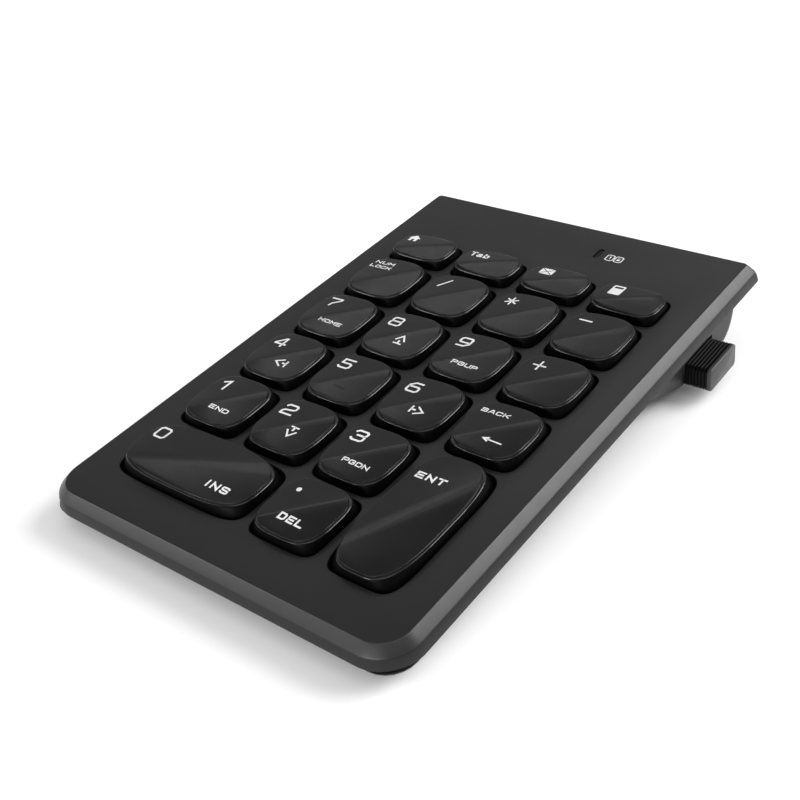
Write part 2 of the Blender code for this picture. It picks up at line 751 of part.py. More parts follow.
def hump_underside(y):
    """How low the hump reaches at y: an S at the front, flat, then a quarter ellipse at the rear."""
    if y < HUMP_FLAT_FRONT:
        part = max(0.0, (y - HUMP_FRONT) / (HUMP_FLAT_FRONT - HUMP_FRONT))
        share = 0.5 - 0.5 * math.cos(math.pi * part)
        return HUMP_TOP + (HUMP_BOTTOM - HUMP_TOP) * share
    if y < HUMP_FLAT_REAR:
        return HUMP_BOTTOM
    part = min(1.0, (y - HUMP_FLAT_REAR) / (HUMP_REAR - HUMP_FLAT_REAR))
    return TRAY_UNDERSIDE + (HUMP_BOTTOM - TRAY_UNDERSIDE) * math.sqrt(1.0 - part * part)


def hump_stations(front, rear):
    """Positions along y where the hump's outline has a point, closer together round the rear."""
    stations = {front, rear}
    for step in range(1, 17):
        stations.add(HUMP_FRONT + (HUMP_FLAT_FRONT - HUMP_FRONT) * step / 16)
    for step in range(11):
        turn = 0.5 * math.pi * step / 10
        stations.add(HUMP_FLAT_REAR + (HUMP_REAR - HUMP_FLAT_REAR) * math.sin(turn))
    return sorted(y for y in stations if front <= y <= rear)


def hump_moved(inset, front, rear):
    """Points of the hump's lower outline between two positions along y, each moved inwards by an inset."""
    moved = []
    for y in hump_stations(front, rear):
        low_y = max(y - TINY, HUMP_FRONT)
        high_y = min(y + TINY, HUMP_REAR)
        slope = (hump_underside(high_y) - hump_underside(low_y)) / (high_y - low_y)
        length = math.hypot(1.0, slope)
        moved_z = min(hump_underside(y) + inset / length, HUMP_BURIED - GAP)
        moved.append((y - inset * slope / length, moved_z))
    return moved


def hump_contour(inset, front, rear):
    """The moved outline, cut off exactly at two positions along y."""
    moved = hump_moved(inset, max(front - inset, HUMP_FRONT), min(rear + inset, HUMP_REAR))
    points = [(front, height_on(moved, front))]
    points += [(y, z) for y, z in moved if front + TINY < y < rear - TINY]
    points.append((rear, height_on(moved, rear)))
    return points


def height_on(outline, y):
    """The height of an outline at a position along y; beyond its ends it stays level."""
    if y <= outline[0][0]:
        return outline[0][1]
    for (low_y, low_z), (high_y, high_z) in zip(outline, outline[1:]):
        if y <= high_y:
            return low_z + (high_z - low_z) * (y - low_y) / (high_y - low_y)
    return outline[-1][1]


def hump_prism(name, half_x, contour, closing_z):
    """A contour closed by a flat side at one height, as a prism across the given x range."""
    loop = contour + [(contour[-1][0], closing_z), (contour[0][0], closing_z)]
    low_x, high_x = half_x
    return loft(name, [[(x, y, z) for y, z in loop] for x in (low_x, high_x)])


def hump_body():
    """The outer solid: sections along x that draw in round both lower side edges."""
    edge_steps = 4
    stations = []
    for step in range(edge_steps + 1):
        turn = 0.5 * math.pi * step / edge_steps
        x = HUMP_HALF_X - HUMP_EDGE * (1.0 - math.cos(turn))
        stations.append((x, HUMP_EDGE * (1.0 - math.sin(turn))))
    rings = []
    for side, order in ((-1, stations), (1, stations[::-1])):
        for x, draw in order:
            contour = hump_moved(draw, HUMP_FRONT, HUMP_REAR)
            loop = contour + [(contour[-1][0], HUMP_BURIED), (contour[0][0], HUMP_BURIED)]
            rings.append([(side * x, y, z) for y, z in loop])
    return loft("hump", rings)


def tray_body():
    rings = []
    for half_x, front, rear, z in TRAY_PROFILE:
        outline = rounded_outline(half_x, front, rear, TRAY_FRONT_CORNER, TRAY_REAR_CORNER)
        rings.append(at_height(outline, z))
    return loft("bottom_case", rings)


def hump_voids():
    """The hollows left of, right of and in front of the battery compartment, open to the tray."""
    left = (-VOID_HALF_X, -SIDE_VOID_INNER)
    middle = (-FRONT_VOID_HALF_X, FRONT_VOID_HALF_X)
    right = (SIDE_VOID_INNER, VOID_HALF_X)
    spans = (
        ("left_void", left, VOID_FRONT, VOID_REAR),
        ("front_void", middle, VOID_FRONT, BAY_FRONT - BAY_WALL),
        ("right_front_void", right, VOID_FRONT, RECEIVER_Y - POCKET_BLOCK_HALF_Y),
        ("right_rear_void", right, RECEIVER_Y + POCKET_BLOCK_HALF_Y, VOID_REAR),
    )
    return [hump_prism(name, half_x, hump_contour(HUMP_WALL, front, rear), VOID_TOP)
            for name, half_x, front, rear in spans]


def inner_supports():
    """Tubes round the rear screws, pads under the front ones, board posts and a seat for the switch."""
    bm = bmesh.new()
    radius = SUPPORT_RADIUS
    sunk_floor = TRAY_FLOOR - SUPPORT_SINK
    for side in (-1, 1):
        rear_x, rear_y = REAR_SCREW
        add_cone(bm, side * rear_x, rear_y, HUMP_BOTTOM + SEAT_SINK, TRAY_FLOOR, radius, radius, 12)
        front_x, front_y = FRONT_SCREW
        add_cone(bm, side * front_x, front_y, sunk_floor, FRONT_PAD_TOP, radius, radius, 12)
    for x, y in BOARD_POSTS:
        add_cone(bm, x, y, sunk_floor, BOARD[0] - GAP, POST_RADIUS, POST_RADIUS, 8)
    seat_low, seat_high = SWITCH_SEAT_X
    add_box(
        bm,
        (seat_low, SWITCH_Y - SWITCH_SEAT_HALF_Y, HUMP_BOTTOM + SEAT_SINK),
        (seat_high, SWITCH_Y + SWITCH_SEAT_HALF_Y, SWITCH_Z - SWITCH_BODY_HALF_Z - GAP),
    )
    return mesh_of("inner_supports", bm)


def receiver_pocket():
    bm = bmesh.new()
    y = RECEIVER_HALF_Y + POCKET_CLEARANCE
    z = RECEIVER_HALF_Z + GAP
    add_box(
        bm,
        (RECEIVER_INNER - POCKET_STOP_GAP, RECEIVER_Y - y, RECEIVER_Z - z),
        (HUMP_HALF_X + CLEAR, RECEIVER_Y + y, RECEIVER_Z + z),
    )
    return mesh_of("receiver_pocket", bm)


def plug_pocket():
    y = PLUG_HALF_Y + POCKET_CLEARANCE
    z = PLUG_HALF_Z + POCKET_CLEARANCE
    return box_mesh(
        "plug_pocket",
        (POCKET_END, RECEIVER_Y - y, RECEIVER_Z - z),
        (HUMP_HALF_X, RECEIVER_Y + y, RECEIVER_Z + z),
    )


def foot_recesses():
    bm = bmesh.new()
    radius = FOOT_RADIUS + GAP
    for side in (-1, 1):
        for (x, y), face in ((FRONT_FOOT, TRAY_UNDERSIDE), (REAR_FOOT, HUMP_BOTTOM)):
            add_cone(bm, side * x, y, face - CLEAR, face + FOOT_RECESS, radius, radius, 16)
    return mesh_of("foot_recesses", bm)


def tray_cavity():
    outline = rounded_outline(
        TRAY_CAVITY_HALF_X, TRAY_CAVITY_FRONT, TRAY_CAVITY_REAR, TRAY_CAVITY_CORNER, REAR_CORNER, 4
    )
    return loft("tray_cavity", [at_height(outline, TRAY_FLOOR), at_height(outline, LIP_TOP + CLEAR)])


def battery_openings():
    """The battery bay, the opening its cover closes, and the notch for a fingernail behind it."""
    bay = box_mesh(
        "battery_bay",
        (-BAY_HALF_X, BAY_FRONT, HUMP_BOTTOM - CLEAR),
        (BAY_HALF_X, BAY_REAR, BAY_CEILING),
    )
    opening_half_x = COVER_HALF_X + GAP
    opening = hump_prism(
        "cover_opening",
        (-opening_half_x, opening_half_x),
        hump_contour(COVER_LEDGE, BAY_FRONT - GAP, BAY_REAR + GAP),
        HUMP_BOTTOM - CLEAR,
    )
    notch = box_mesh(
        "nail_notch",
        (-NOTCH_HALF_X, BAY_REAR, HUMP_BOTTOM - CLEAR),
        (NOTCH_HALF_X, BAY_REAR + NOTCH_LENGTH, HUMP_BOTTOM + NOTCH_DEPTH),
    )
    return [bay, opening, notch]


def switch_slot():
    return box_mesh(
        "switch_slot",
        (-HUMP_HALF_X - CLEAR, SWITCH_Y - SWITCH_SLOT_HALF_Y, SWITCH_Z - SWITCH_SLOT_HALF_Z),
        (-VOID_HALF_X + CLEAR / 2, SWITCH_Y + SWITCH_SLOT_HALF_Y, SWITCH_Z + SWITCH_SLOT_HALF_Z),
    )


def case_screw_holes():
    """The screws' head holes and the narrower holes that their shanks pass through."""
    heads = screw_holes(
        "head_holes",
        HEAD_RADIUS + GAP,
        (TRAY_UNDERSIDE - CLEAR, FRONT_HEAD_TOP + GAP),
        (HUMP_BOTTOM - CLEAR, REAR_HEAD_TOP + GAP),
    )
    shanks = screw_holes("shank_holes", SHANK_RADIUS + GAP, SHANK_HOLE, SHANK_HOLE)
    return [heads, shanks]


def make_bottom_case():
    case = place("bottom_case", tray_body(), CASE_BLACK)
    boolean(case, "UNION", place("hump", hump_body(), cutter=True))
    for mesh in [tray_cavity()] + hump_voids():
        boolean(case, "DIFFERENCE", place(mesh.name, mesh, cutter=True))
    boolean(case, "UNION", place("inner_supports", inner_supports(), cutter=True))
    cuts = battery_openings() + [receiver_pocket(), plug_pocket(), switch_slot(), foot_recesses()]
    for mesh in cuts + case_screw_holes():
        boolean(case, "DIFFERENCE", place(mesh.name, mesh, cutter=True))


def make_battery_cover():
    outer = hump_contour(0.0, BAY_FRONT, BAY_REAR)
    inner = hump_contour(COVER_THICKNESS, BAY_FRONT, BAY_REAR)
    loop = outer + inner[::-1]
    rings = [[(x, y, z) for y, z in loop] for x in (-COVER_HALF_X, COVER_HALF_X)]
    cover = place("battery_cover", loft("battery_cover", rings), CASE_BLACK)
    hinge = Vector((0.0, BAY_FRONT, hump_underside(BAY_FRONT)))
    cover.data.transform(Matrix.Translation(-hinge))
    cover.location = hinge


# Batteries and contacts

def lying_along_x(x, y, z, to_right):
    """A matrix that lays a solid of revolution along X, with its top end to the right or to the left."""
    turn = Matrix.Rotation(math.radians(90 if to_right else -90), 4, "Y")
    return Matrix.Translation((x, y, z)) @ turn


def make_batteries():
    profile = (
        (0.0, CELL_LENGTH / 2 + CELL_NUB),
        (CELL_NUB_RADIUS, CELL_LENGTH / 2 + CELL_NUB),
        (CELL_NUB_RADIUS, CELL_LENGTH / 2),
        (CELL_RADIUS - CELL_EDGE, CELL_LENGTH / 2),
        (CELL_RADIUS, CELL_LENGTH / 2 - CELL_EDGE),
        (CELL_RADIUS, -CELL_LENGTH / 2 + CELL_EDGE),
        (CELL_RADIUS - CELL_EDGE, -CELL_LENGTH / 2),
        (0.0, -CELL_LENGTH / 2),
    )
    centre = CONTACT_X - GAP - CELL_NUB - CELL_LENGTH / 2
    for index, (y, side) in enumerate(zip(CELL_Y, (1, -1))):
        pose = lying_along_x(side * centre, y, CELL_Z, side > 0)
        cell = place(f"battery_{index + 1}", turned("battery", profile, 20, pose), CELL_WRAP)
        smooth(cell)


def make_contacts():
    inner = CONTACT_X
    outer = CONTACT_X + CONTACT_THICKNESS
    low_z = CELL_Z - CONTACT_HALF_Z
    high_z = CELL_Z + CONTACT_HALF_Z
    front_y, rear_y = CELL_Y
    reach = CONTACT_REACH
    plates = (
        ("contact_bridge", -outer, -inner, front_y - reach, rear_y + reach),
        ("contact_positive", inner, outer, front_y - reach, front_y + reach),
        ("contact_negative", inner, outer, rear_y - reach, rear_y + reach),
    )
    for name, low_x, high_x, low_y, high_y in plates:
        place(name, box_mesh(name, (low_x, low_y, low_z), (high_x, high_y, high_z)), STEEL)


def make_springs():
    """A conical spring between each cell's flat end and its contact."""
    points_per_turn = 10
    cell_end = CELL_LENGTH - CONTACT_X + GAP + CELL_NUB
    start = CONTACT_X - GAP - SPRING_WIRE
    finish = cell_end + GAP + SPRING_WIRE
    total = round(SPRING_TURNS * points_per_turn)
    for name, y, side in (("spring_front", CELL_Y[0], -1), ("spring_rear", CELL_Y[1], 1)):
        points = []
        for step in range(total + 1):
            part = step / total
            angle = 2 * math.pi * SPRING_TURNS * part
            ring = SPRING_WIDE + (SPRING_NARROW - SPRING_WIDE) * part
            x = side * (start + (finish - start) * part)
            points.append((x, y + ring * math.cos(angle), CELL_Z + ring * math.sin(angle)))
        smooth(place(name, wire(name, points, SPRING_WIRE), STEEL))


# Receiver

def receiver_ring(x, inset):
    half_y = RECEIVER_HALF_Y - inset
    half_z = RECEIVER_HALF_Z - inset
    corner = RECEIVER_CORNER - inset
    outline = rounded_outline(half_y, -half_z, half_z, corner, corner, 2)
    return [(x, RECEIVER_Y + y, RECEIVER_Z + z) for y, z in outline]


def make_receiver_body():
    """The grip: ribs with grooves between them, then a plain end."""
    floor_start, floor_end, next_rib = GROOVE_STEPS
    rings = [receiver_ring(RECEIVER_INNER, 0.0)]
    for rib in range(RIB_COUNT):
        x = RECEIVER_FIRST_RIB + rib * RIB_PITCH
        rings.append(receiver_ring(x, 0.0))
        rings.append(receiver_ring(x + floor_start, RIB_GROOVE))
        rings.append(receiver_ring(x + floor_end, RIB_GROOVE))
        rings.append(receiver_ring(x + next_rib, 0.0))
    rings.append(receiver_ring(RECEIVER_OUTER - RECEIVER_EDGE, 0.0))
    rings.append(receiver_ring(RECEIVER_OUTER, RECEIVER_EDGE))
    place("receiver_body", loft("receiver_body", rings), RECEIVER_BLACK)


def plug_box(name, low_x, high_x, inset):
    """A box along the plug, its sides drawn in from the plug's outside by an inset."""
    half_y = PLUG_HALF_Y - inset
    half_z = PLUG_HALF_Z - inset
    low = (low_x, RECEIVER_Y - half_y, RECEIVER_Z - half_z)
    high = (high_x, RECEIVER_Y + half_y, RECEIVER_Z + half_z)
    return box_mesh(name, low, high)


def make_plug():
    """A steel shell open at its tip, and the contact tongue in its lower half."""
    inner_x = RECEIVER_INNER - GAP
    hollow_end = inner_x - PLUG_BACK
    plug = place("receiver_plug", plug_box("receiver_plug", PLUG_TIP, inner_x, 0.0), STEEL)
    hollow = plug_box("plug_hollow", PLUG_TIP - CLEAR, hollow_end, PLUG_WALL)
    boolean(plug, "DIFFERENCE", place("plug_hollow", hollow, cutter=True))
    tongue_half_y = PLUG_HALF_Y - PLUG_WALL - GAP
    tongue_low_z = RECEIVER_Z - PLUG_HALF_Z + PLUG_WALL + GAP
    tongue = box_mesh(
        "receiver_tongue",
        (PLUG_TIP + TONGUE_SETBACK, RECEIVER_Y - tongue_half_y, tongue_low_z),
        (hollow_end - GAP, RECEIVER_Y + tongue_half_y, RECEIVER_Z - TONGUE_DROP),
    )
    place("receiver_tongue", tongue, RECEIVER_BLACK)


# Power switch, electronics, light guide, screws and feet

def make_power_switch():
    low_x, high_x = SWITCH_BODY_X
    body = box_mesh(
        "power_switch_body",
        (low_x, SWITCH_Y - SWITCH_BODY_HALF_Y, SWITCH_Z - SWITCH_BODY_HALF_Z),
        (high_x, SWITCH_Y + SWITCH_BODY_HALF_Y, SWITCH_Z + SWITCH_BODY_HALF_Z),
    )
    place("power_switch_body", body, STEEL)
    knob = box_mesh(
        "power_switch_knob",
        (-HUMP_HALF_X - KNOB_STANDS_OUT, -KNOB_HALF_Y, SWITCH_Z - KNOB_HALF_Z),
        (-VOID_HALF_X, KNOB_HALF_Y, SWITCH_Z + KNOB_HALF_Z),
    )
    obj = place("power_switch_knob", knob, RECEIVER_BLACK)
    obj.location = (0.0, SWITCH_Y - SWITCH_TRAVEL / 2, 0.0)
    soften(obj, KNOB_EDGE)


def upright_box(name, x, y, half_x, half_y, faces):
    """A box centred on x and y, between a lower and an upper face."""
    low, high = faces
    return box_mesh(name, (x - half_x, y - half_y, low), (x + half_x, y + half_y, high))


def make_electronics():
    board = (
        (BOARD_LEFT, BOARD_FRONT),
        (BOARD_RIGHT, BOARD_FRONT),
        (BOARD_RIGHT, BOARD_REAR),
        (BOARD_LEFT, BOARD_REAR),
    )
    place("control_board", flat_sheet("control_board", board, BOARD), BOARD_GREEN)
    seat = BOARD[1] + GAP
    chip = upright_box("radio_chip", *CHIP_CENTRE, CHIP_HALF, CHIP_HALF, (seat, seat + CHIP_HEIGHT))
    place("radio_chip", chip, RECEIVER_BLACK)
    led_faces = (seat, seat + LED_HEIGHT)
    led = upright_box("status_led", LIGHT_X, LIGHT_Y, LED_HALF_X, LED_HALF_Y, led_faces)
    place("status_led", led, LIGHT_PLASTIC)
    guide_faces = (LIGHT_BOTTOM, LIGHT_TOP)
    guide = upright_box("light_guide", LIGHT_X, LIGHT_Y, LIGHT_HALF_X, LIGHT_HALF_Y, guide_faces)
    place("light_guide", guide, LIGHT_PLASTIC)


def screw_mesh():
    """A pan-head screw, head down, its seat at z = 0, with a cross recess."""
    profile = (
        (0.0, SHANK_LENGTH),
        (SHANK_RADIUS * 0.5, SHANK_LENGTH),
        (SHANK_RADIUS, SHANK_LENGTH - SHANK_TIP),
        (SHANK_RADIUS, 0.0),
        (HEAD_RADIUS, 0.0),
        (HEAD_RADIUS, -HEAD_SIDE),
        (HEAD_RADIUS - HEAD_EDGE, -HEAD_HEIGHT),
        (0.0, -HEAD_HEIGHT),
    )
    screw = place("screw", turned("screw", profile, 12, Matrix.Identity(4)), STEEL)
    arms = []
    reaches = ((RECESS_ARM, RECESS_HALF_WIDTH), (RECESS_HALF_WIDTH, RECESS_ARM))
    for name, (x, y), depth in zip(("recess_x", "recess_y"), reaches, RECESS_DEPTHS):
        faces = (-HEAD_HEIGHT - GAP, depth - HEAD_HEIGHT)
        arms.append(place(name, upright_box(name, 0.0, 0.0, x, y, faces), cutter=True))
    for arm in arms:
        boolean(screw, "DIFFERENCE", arm)
    mesh = baked(screw)
    for arm in arms:
        bpy.data.objects.remove(arm, do_unlink=True)
    return mesh


def make_screws():
    mesh = screw_mesh()
    ends = (("front", FRONT_SCREW, FRONT_HEAD_TOP), ("rear", REAR_SCREW, REAR_HEAD_TOP))
    for end, (x, y), seat in ends:
        for hand, side in (("left", -1), ("right", 1)):
            screw = place(f"screw_{end}_{hand}", mesh, STEEL)
            screw.location = (side * x, y, seat)
            smooth(screw)


def foot_mesh(name, seat, bottom):
    """A rubber disc with its top parallel to the case and its underside level once the case is tipped."""
    circle = superellipse(FOOT_RADIUS, FOOT_RADIUS, 2.0)
    inner_radius = FOOT_RADIUS - FOOT_CHAMFER
    inner = superellipse(inner_radius, inner_radius, 2.0)
    slope = math.tan(TILT)
    rings = [
        at_height(circle, seat),
        [(x, y, bottom + FOOT_CHAMFER - y * slope) for x, y in circle],
        [(x, y, bottom - y * slope) for x, y in inner],
    ]
    return loft(name, rings)


def make_feet():
    for end, (x, y), face in (("front", FRONT_FOOT, TRAY_UNDERSIDE), ("rear", REAR_FOOT, HUMP_BOTTOM)):
        seat = face + FOOT_RECESS - GAP
        bottom = face - FOOT_STANDS_OUT
        mesh = foot_mesh(f"foot_{end}", seat, bottom)
        for hand, side in (("left", -1), ("right", 1)):
            foot = place(f"foot_{end}_{hand}", mesh, RUBBER)
            foot.location = (side * x, y, 0.0)
            smooth(foot)


def stand_case():
    """Tips the case up at the rear: the feet stand on z = 0 and the object is centred on x and y."""
    sine = math.sin(TILT)
    cosine = math.cos(TILT)
    rim_side, rim_rear, rim_depth = RIM_PROFILE[-2]
    front = -(TOP_HALF_Y + rim_side) * cosine + rim_depth * sine
    last_side, last_rear, last_depth = RIM_PROFILE[-1]
    rear = (TOP_HALF_Y + last_rear) * cosine + last_depth * sine
    middle_x = (RECEIVER_OUTER - TOP_HALF_X - rim_side) / 2
    ground = FRONT_FOOT[1] * sine + FOOT_BOTTOM_FRONT * cosine
    CASE_FRAME.rotation_euler = (TILT, 0.0, 0.0)
    CASE_FRAME.location = (-middle_x, -(front + rear) / 2, -ground)


clear_scene()
PARTS = new_collection("numeric_keypad")
CUTTERS = new_collection("cutters")
CASE_FRAME = bpy.data.objects.new("case_frame", None)
PARTS.objects.link(CASE_FRAME)

CASE_BLACK = material("case_black", (0.022, 0.022, 0.023), 0.5)
CAP_BLACK = material("cap_black", (0.012, 0.012, 0.013), 0.3)
RECEIVER_BLACK = material("receiver_black", (0.015, 0.015, 0.016), 0.4)
SILICONE = material("silicone", (0.55, 0.56, 0.56), 0.6)
FILM = material("film", (0.35, 0.38, 0.36), 0.25)
STEEL = material("steel", (0.6, 0.6, 0.6), 0.3, 1.0)
CELL_WRAP = material("cell_wrap", (0.05, 0.09, 0.2), 0.35)
BOARD_GREEN = material("board_green", (0.02, 0.11, 0.05), 0.4)
LIGHT_PLASTIC = material("light_plastic", (0.6, 0.62, 0.6), 0.2)
RUBBER = material("rubber", (0.03, 0.03, 0.03), 0.8)

make_top_case()
make_keycaps()
make_bars()
make_layers()
make_bottom_case()
make_battery_cover()
make_batteries()
make_contacts()
make_springs()
make_receiver_body()
make_plug()
make_power_switch()
make_electronics()
make_screws()
make_feet()
stand_case()
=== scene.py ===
import json
import math

import bmesh
import bpy
from mathutils import Matrix, Vector

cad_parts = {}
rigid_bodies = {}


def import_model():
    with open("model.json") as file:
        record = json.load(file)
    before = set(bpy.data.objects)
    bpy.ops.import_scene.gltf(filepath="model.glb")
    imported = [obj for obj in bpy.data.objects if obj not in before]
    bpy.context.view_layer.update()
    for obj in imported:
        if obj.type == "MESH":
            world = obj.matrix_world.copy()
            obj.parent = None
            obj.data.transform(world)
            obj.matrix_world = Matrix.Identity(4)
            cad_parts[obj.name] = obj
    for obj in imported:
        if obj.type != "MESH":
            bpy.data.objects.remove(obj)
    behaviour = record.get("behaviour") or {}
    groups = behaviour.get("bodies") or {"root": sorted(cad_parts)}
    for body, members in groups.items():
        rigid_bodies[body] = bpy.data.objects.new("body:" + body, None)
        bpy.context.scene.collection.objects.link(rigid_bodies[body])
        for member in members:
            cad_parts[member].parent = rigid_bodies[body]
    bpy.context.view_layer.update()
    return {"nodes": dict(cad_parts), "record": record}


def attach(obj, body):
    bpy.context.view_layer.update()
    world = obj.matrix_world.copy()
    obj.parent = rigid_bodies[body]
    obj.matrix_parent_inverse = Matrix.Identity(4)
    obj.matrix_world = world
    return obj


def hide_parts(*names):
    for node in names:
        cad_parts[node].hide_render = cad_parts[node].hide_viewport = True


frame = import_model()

MM = 0.001
RECORD = frame["record"]
NODES = frame["nodes"]

# The sloping case's own frame: +Y up the slope, Z = 0 on its flat top face. It comes from the keys' direction
# of travel and from the front left foot, whose underside is at FRONT_FOOT in that frame.
PRESS = Vector(RECORD["behaviour"]["joints"][0]["axis"])
TILT = math.atan2(PRESS.y, -PRESS.z)
FRONT_FOOT = Vector((-30.0 * MM, -60.5 * MM, -10.6 * MM))
FOOT_MOUNT = next(mount for mount in RECORD["mounts"] if mount["name"] == "foot_front_left")
TURN = Matrix.Rotation(TILT, 4, "X")
CASE = Matrix.Translation(Vector(FOOT_MOUNT["pos_m"]) - (TURN @ FRONT_FOOT)) @ TURN
TO_CASE = CASE.inverted()

# CAD nodes whose curved faces show, and how their faceted meshes are cleaned before they are shaded smooth
SMOOTHED = ("bottom_case", "battery_", "spring_", "screw_", "foot_", "stabiliser_")
WELD = 0.002 * MM
FLAT_ANGLE = 0.002
CURVE_ANGLE = 32

# Keycaps: the top face's height, how far it drops from the fold to a corner, the ledge round it, and where
# the polished cap gives way to its skirt, which is duller and painted darker as painted shade
CAP_TOP = 2.59 * MM
CAP_FOLD = 0.29 * MM
CAP_LEDGE = 1.98 * MM
SHADED_SKIRT_HEIGHT = 1.75 * MM
# A cap's rings up to the ledge: inset in mm, the outline's power (2 is an ellipse, more is squarer), and
# height in mm
CAP_PROFILE = (
    (0.12, 5.0, -0.90),
    (0.02, 5.0, -0.80),
    (0.00, 4.6, 0.00),
    (0.02, 3.6, 1.40),
    (0.04, 3.4, 1.62),
    (0.09, 3.3, 1.80),
    (0.18, 3.25, 1.92),
    (0.29, 3.2, 1.97),
    (0.42, 3.2, 1.98),
)
# The step from the ledge to the top face: inset in mm, and the share of the step that is climbed
STEP_PROFILE = ((0.47, 0.0), (0.50, 0.75), (0.54, 0.93), (0.64, 1.0))
TOP_POWER = 3.1
OUTLINE_POINTS = 96
CAP_SHARP_ANGLE = 20

# The raised bar on the 5: its place below the cap's centre, half sizes, and rings of growth and height in mm
TOUCH_BAR_Y = -3.8 * MM
TOUCH_BAR_SINK = 0.1 * MM
TOUCH_BAR_HALF = (1.55, 0.3)
TOUCH_BAR_POWER = 2.6
TOUCH_BAR_POINTS = 32
TOUCH_BAR_PROFILE = ((0.0, 0.0), (0.0, 0.16), (-0.06, 0.21), (-0.16, 0.235))

# Case rim, in mm: how far it stands out at the sides and front, at the rear, and the depth of each ring
RIM_PROFILE = (
    (2.12, 2.02, 4.60),
    (2.27, 2.12, 4.52),
    (2.30, 2.15, 4.35),
    (2.06, 1.40, 2.62),
    (2.00, 1.17, 2.35),
    (1.95, 1.04, 2.14),
    (1.84, 0.94, 1.90),
    (1.70, 0.86, 1.70),
    (0.10, -0.02, 0.14),
    (0.02, -0.10, 0.055),
    (-0.07, -0.19, 0.015),
    (-0.20, -0.32, 0.0),
)
RIM_HALF_X = 44.2 * MM
RIM_HALF_Y = 68.0 * MM
FRONT_CORNER = 6.3 * MM
REAR_CORNER = 1.0 * MM
REAR_CORNER_GROWTH = 0.4
SMALLEST_CORNER = 0.45 * MM
CORNER_STEPS = 16
# Below this height the rim is the side wall, duller and painted a little darker as painted shade
SHADED_WALL_TOP = -1.9 * MM

# Openings in the case: the key wells with their softened edge, and the slit for the light
WELL_CLEARANCE = 0.36 * MM
WELL_FLOOR = -3.2 * MM
WELL_EDGE = 0.12 * MM
WELL_POWER = 6.0
SLIT_CLEARANCE = 0.3 * MM
SLIT_CORNER = 0.6 * MM
SLIT_STEPS = 8
SLIT_FLOOR = -3.0 * MM
# How far a cutting shape reaches past the face that it opens, and the smallest step above that face
CUT_REACH = 1.0 * MM
HAIR = 0.001 * MM

# The receiver's grip and end plate
RECEIVER_CORNER = 1.1 * MM
RECEIVER_CORNER_STEPS = 5
RECEIVER_EDGE = 0.1 * MM
FIRST_RIB = 2.3 * MM
RIB_STEP = 0.8 * MM
RIB_COUNT = 6
# One groove between ribs: distance along the grip and depth, in mm
GROOVE_PROFILE = ((0.0, 0.0), (0.06, 0.06), (0.1, 0.3), (0.34, 0.3), (0.38, 0.06), (0.44, 0.0))
# The grip's last rings, up to the end plate: distance in from the end and inset, in mm
GRIP_END_PROFILE = ((1.02, 0.0), (1.0, 0.12), (0.9, 0.12))
# The end plate's rings: distance in from its outer face and inset, in mm
END_PLATE_PROFILE = ((0.9, 0.1), (0.82, 0.0), (0.25, 0.0), (0.1, 0.05), (0.0, 0.2))

# Surfaces: the darker patches' share of the colour, the noise or convexity values between which each effect
# grows, and noise scales in waves per metre
DARK_PATCH = 0.82
PATCH_SCALE = 90.0
PATCH_FADE = (0.35, 0.65)
SMEAR_SCALE = 315.0
SMEAR_FADE = (0.3, 0.7)
RUBBED_FADE = (0.53, 0.62)
RUBBED_SHARE = 0.5
BUMP_STRENGTH = 0.6

# Signs: height of a character, its width as a share of that, and the stroke, in millimetres
DIGIT = (3.6, 0.80, 0.52)
WORD = (1.25, 1.05, 0.27)
MIXED_WORD = (2.0, 0.8, 0.38)
LARGE_WORD = (1.85, 0.80, 0.42)
LETTER_GAP = 2.1
NARROW_LETTER = 0.35
MITRE_LIMIT = 0.35
MATH_STROKE = 0.42
PRINT_LIFT = 0.012 * MM

# The sign beside the light, in millimetres: its centre line, two boxes and their half sizes and cut corners
LOCK_SIGN_Y = 57.3
LOCK_SIGN_X = (14.1, 16.4)
LOCK_BOX = (0.95, 1.2, 0.35)
LOCK_BOX_STROKE = 0.26

# The studio: the floor's reach, the sky's strength at rising heights of a direction, and each light's place,
# size and power
FLOOR_REACH = 1.8
FLOOR_COLOUR = (0.9, 0.9, 0.9, 1.0)
FLOOR_ROUGHNESS = 0.9
SKY = ((0.06, 0.95), (0.26, 0.30), (0.50, 0.29), (0.85, 0.14))
LIGHTS = (
    ("overhead", (0.50, -0.50, 1.50), (1.8, 1.8), 13.0),
    ("right_rear", (0.95, 0.93, 0.98), (1.1, 1.1), 31.0),
    ("front_left", (-1.50, -1.35, 1.10), (1.0, 1.0), 18.0),
    ("front_low", (0.10, -2.20, 0.38), (1.6, 0.5), 26.0),
    ("rear_left", (-0.70, 0.75, 1.10), (1.1, 0.22), 0.9),
)

# The camera, in the case's frame: above the front right corner, looking down along the slope to the rear left
CAMERA_PLACE = (141.4 * MM, -158.7 * MM, 147.1 * MM)
CAMERA_RIGHT = Vector((0.7854, 0.6041, -0.1350))
CAMERA_UP = Vector((-0.2764, 0.5374, 0.7967))
CAMERA_LENS = 53.35
CAMERA_SENSOR = 36.0
CAMERA_NEAR = 0.01


def node_box(name):
    """The lowest and highest corner of a CAD node, in the case's frame."""
    points = [TO_CASE @ vertex.co for vertex in NODES[name].data.vertices]
    low = Vector([min(point[axis] for point in points) for axis in range(3)])
    high = Vector([max(point[axis] for point in points) for axis in range(3)])
    return low, high


# Materials

def add_node(tree, kind, **inputs):
    """A shader node with the given inputs, where an underscore in a name stands for a space."""
    made = tree.nodes.new(kind)
    for name, value in inputs.items():
        made.inputs[name.replace("_", " ")].default_value = value
    return made


def noise(tree, coordinates, scale, detail, roughness=0.5):
    """A noise value from 0 to 1, at scale waves per metre."""
    made = add_node(tree, "ShaderNodeTexNoise", Scale=scale, Detail=detail, Roughness=roughness)
    tree.links.new(coordinates, made.inputs["Vector"])
    return made.outputs["Fac"]


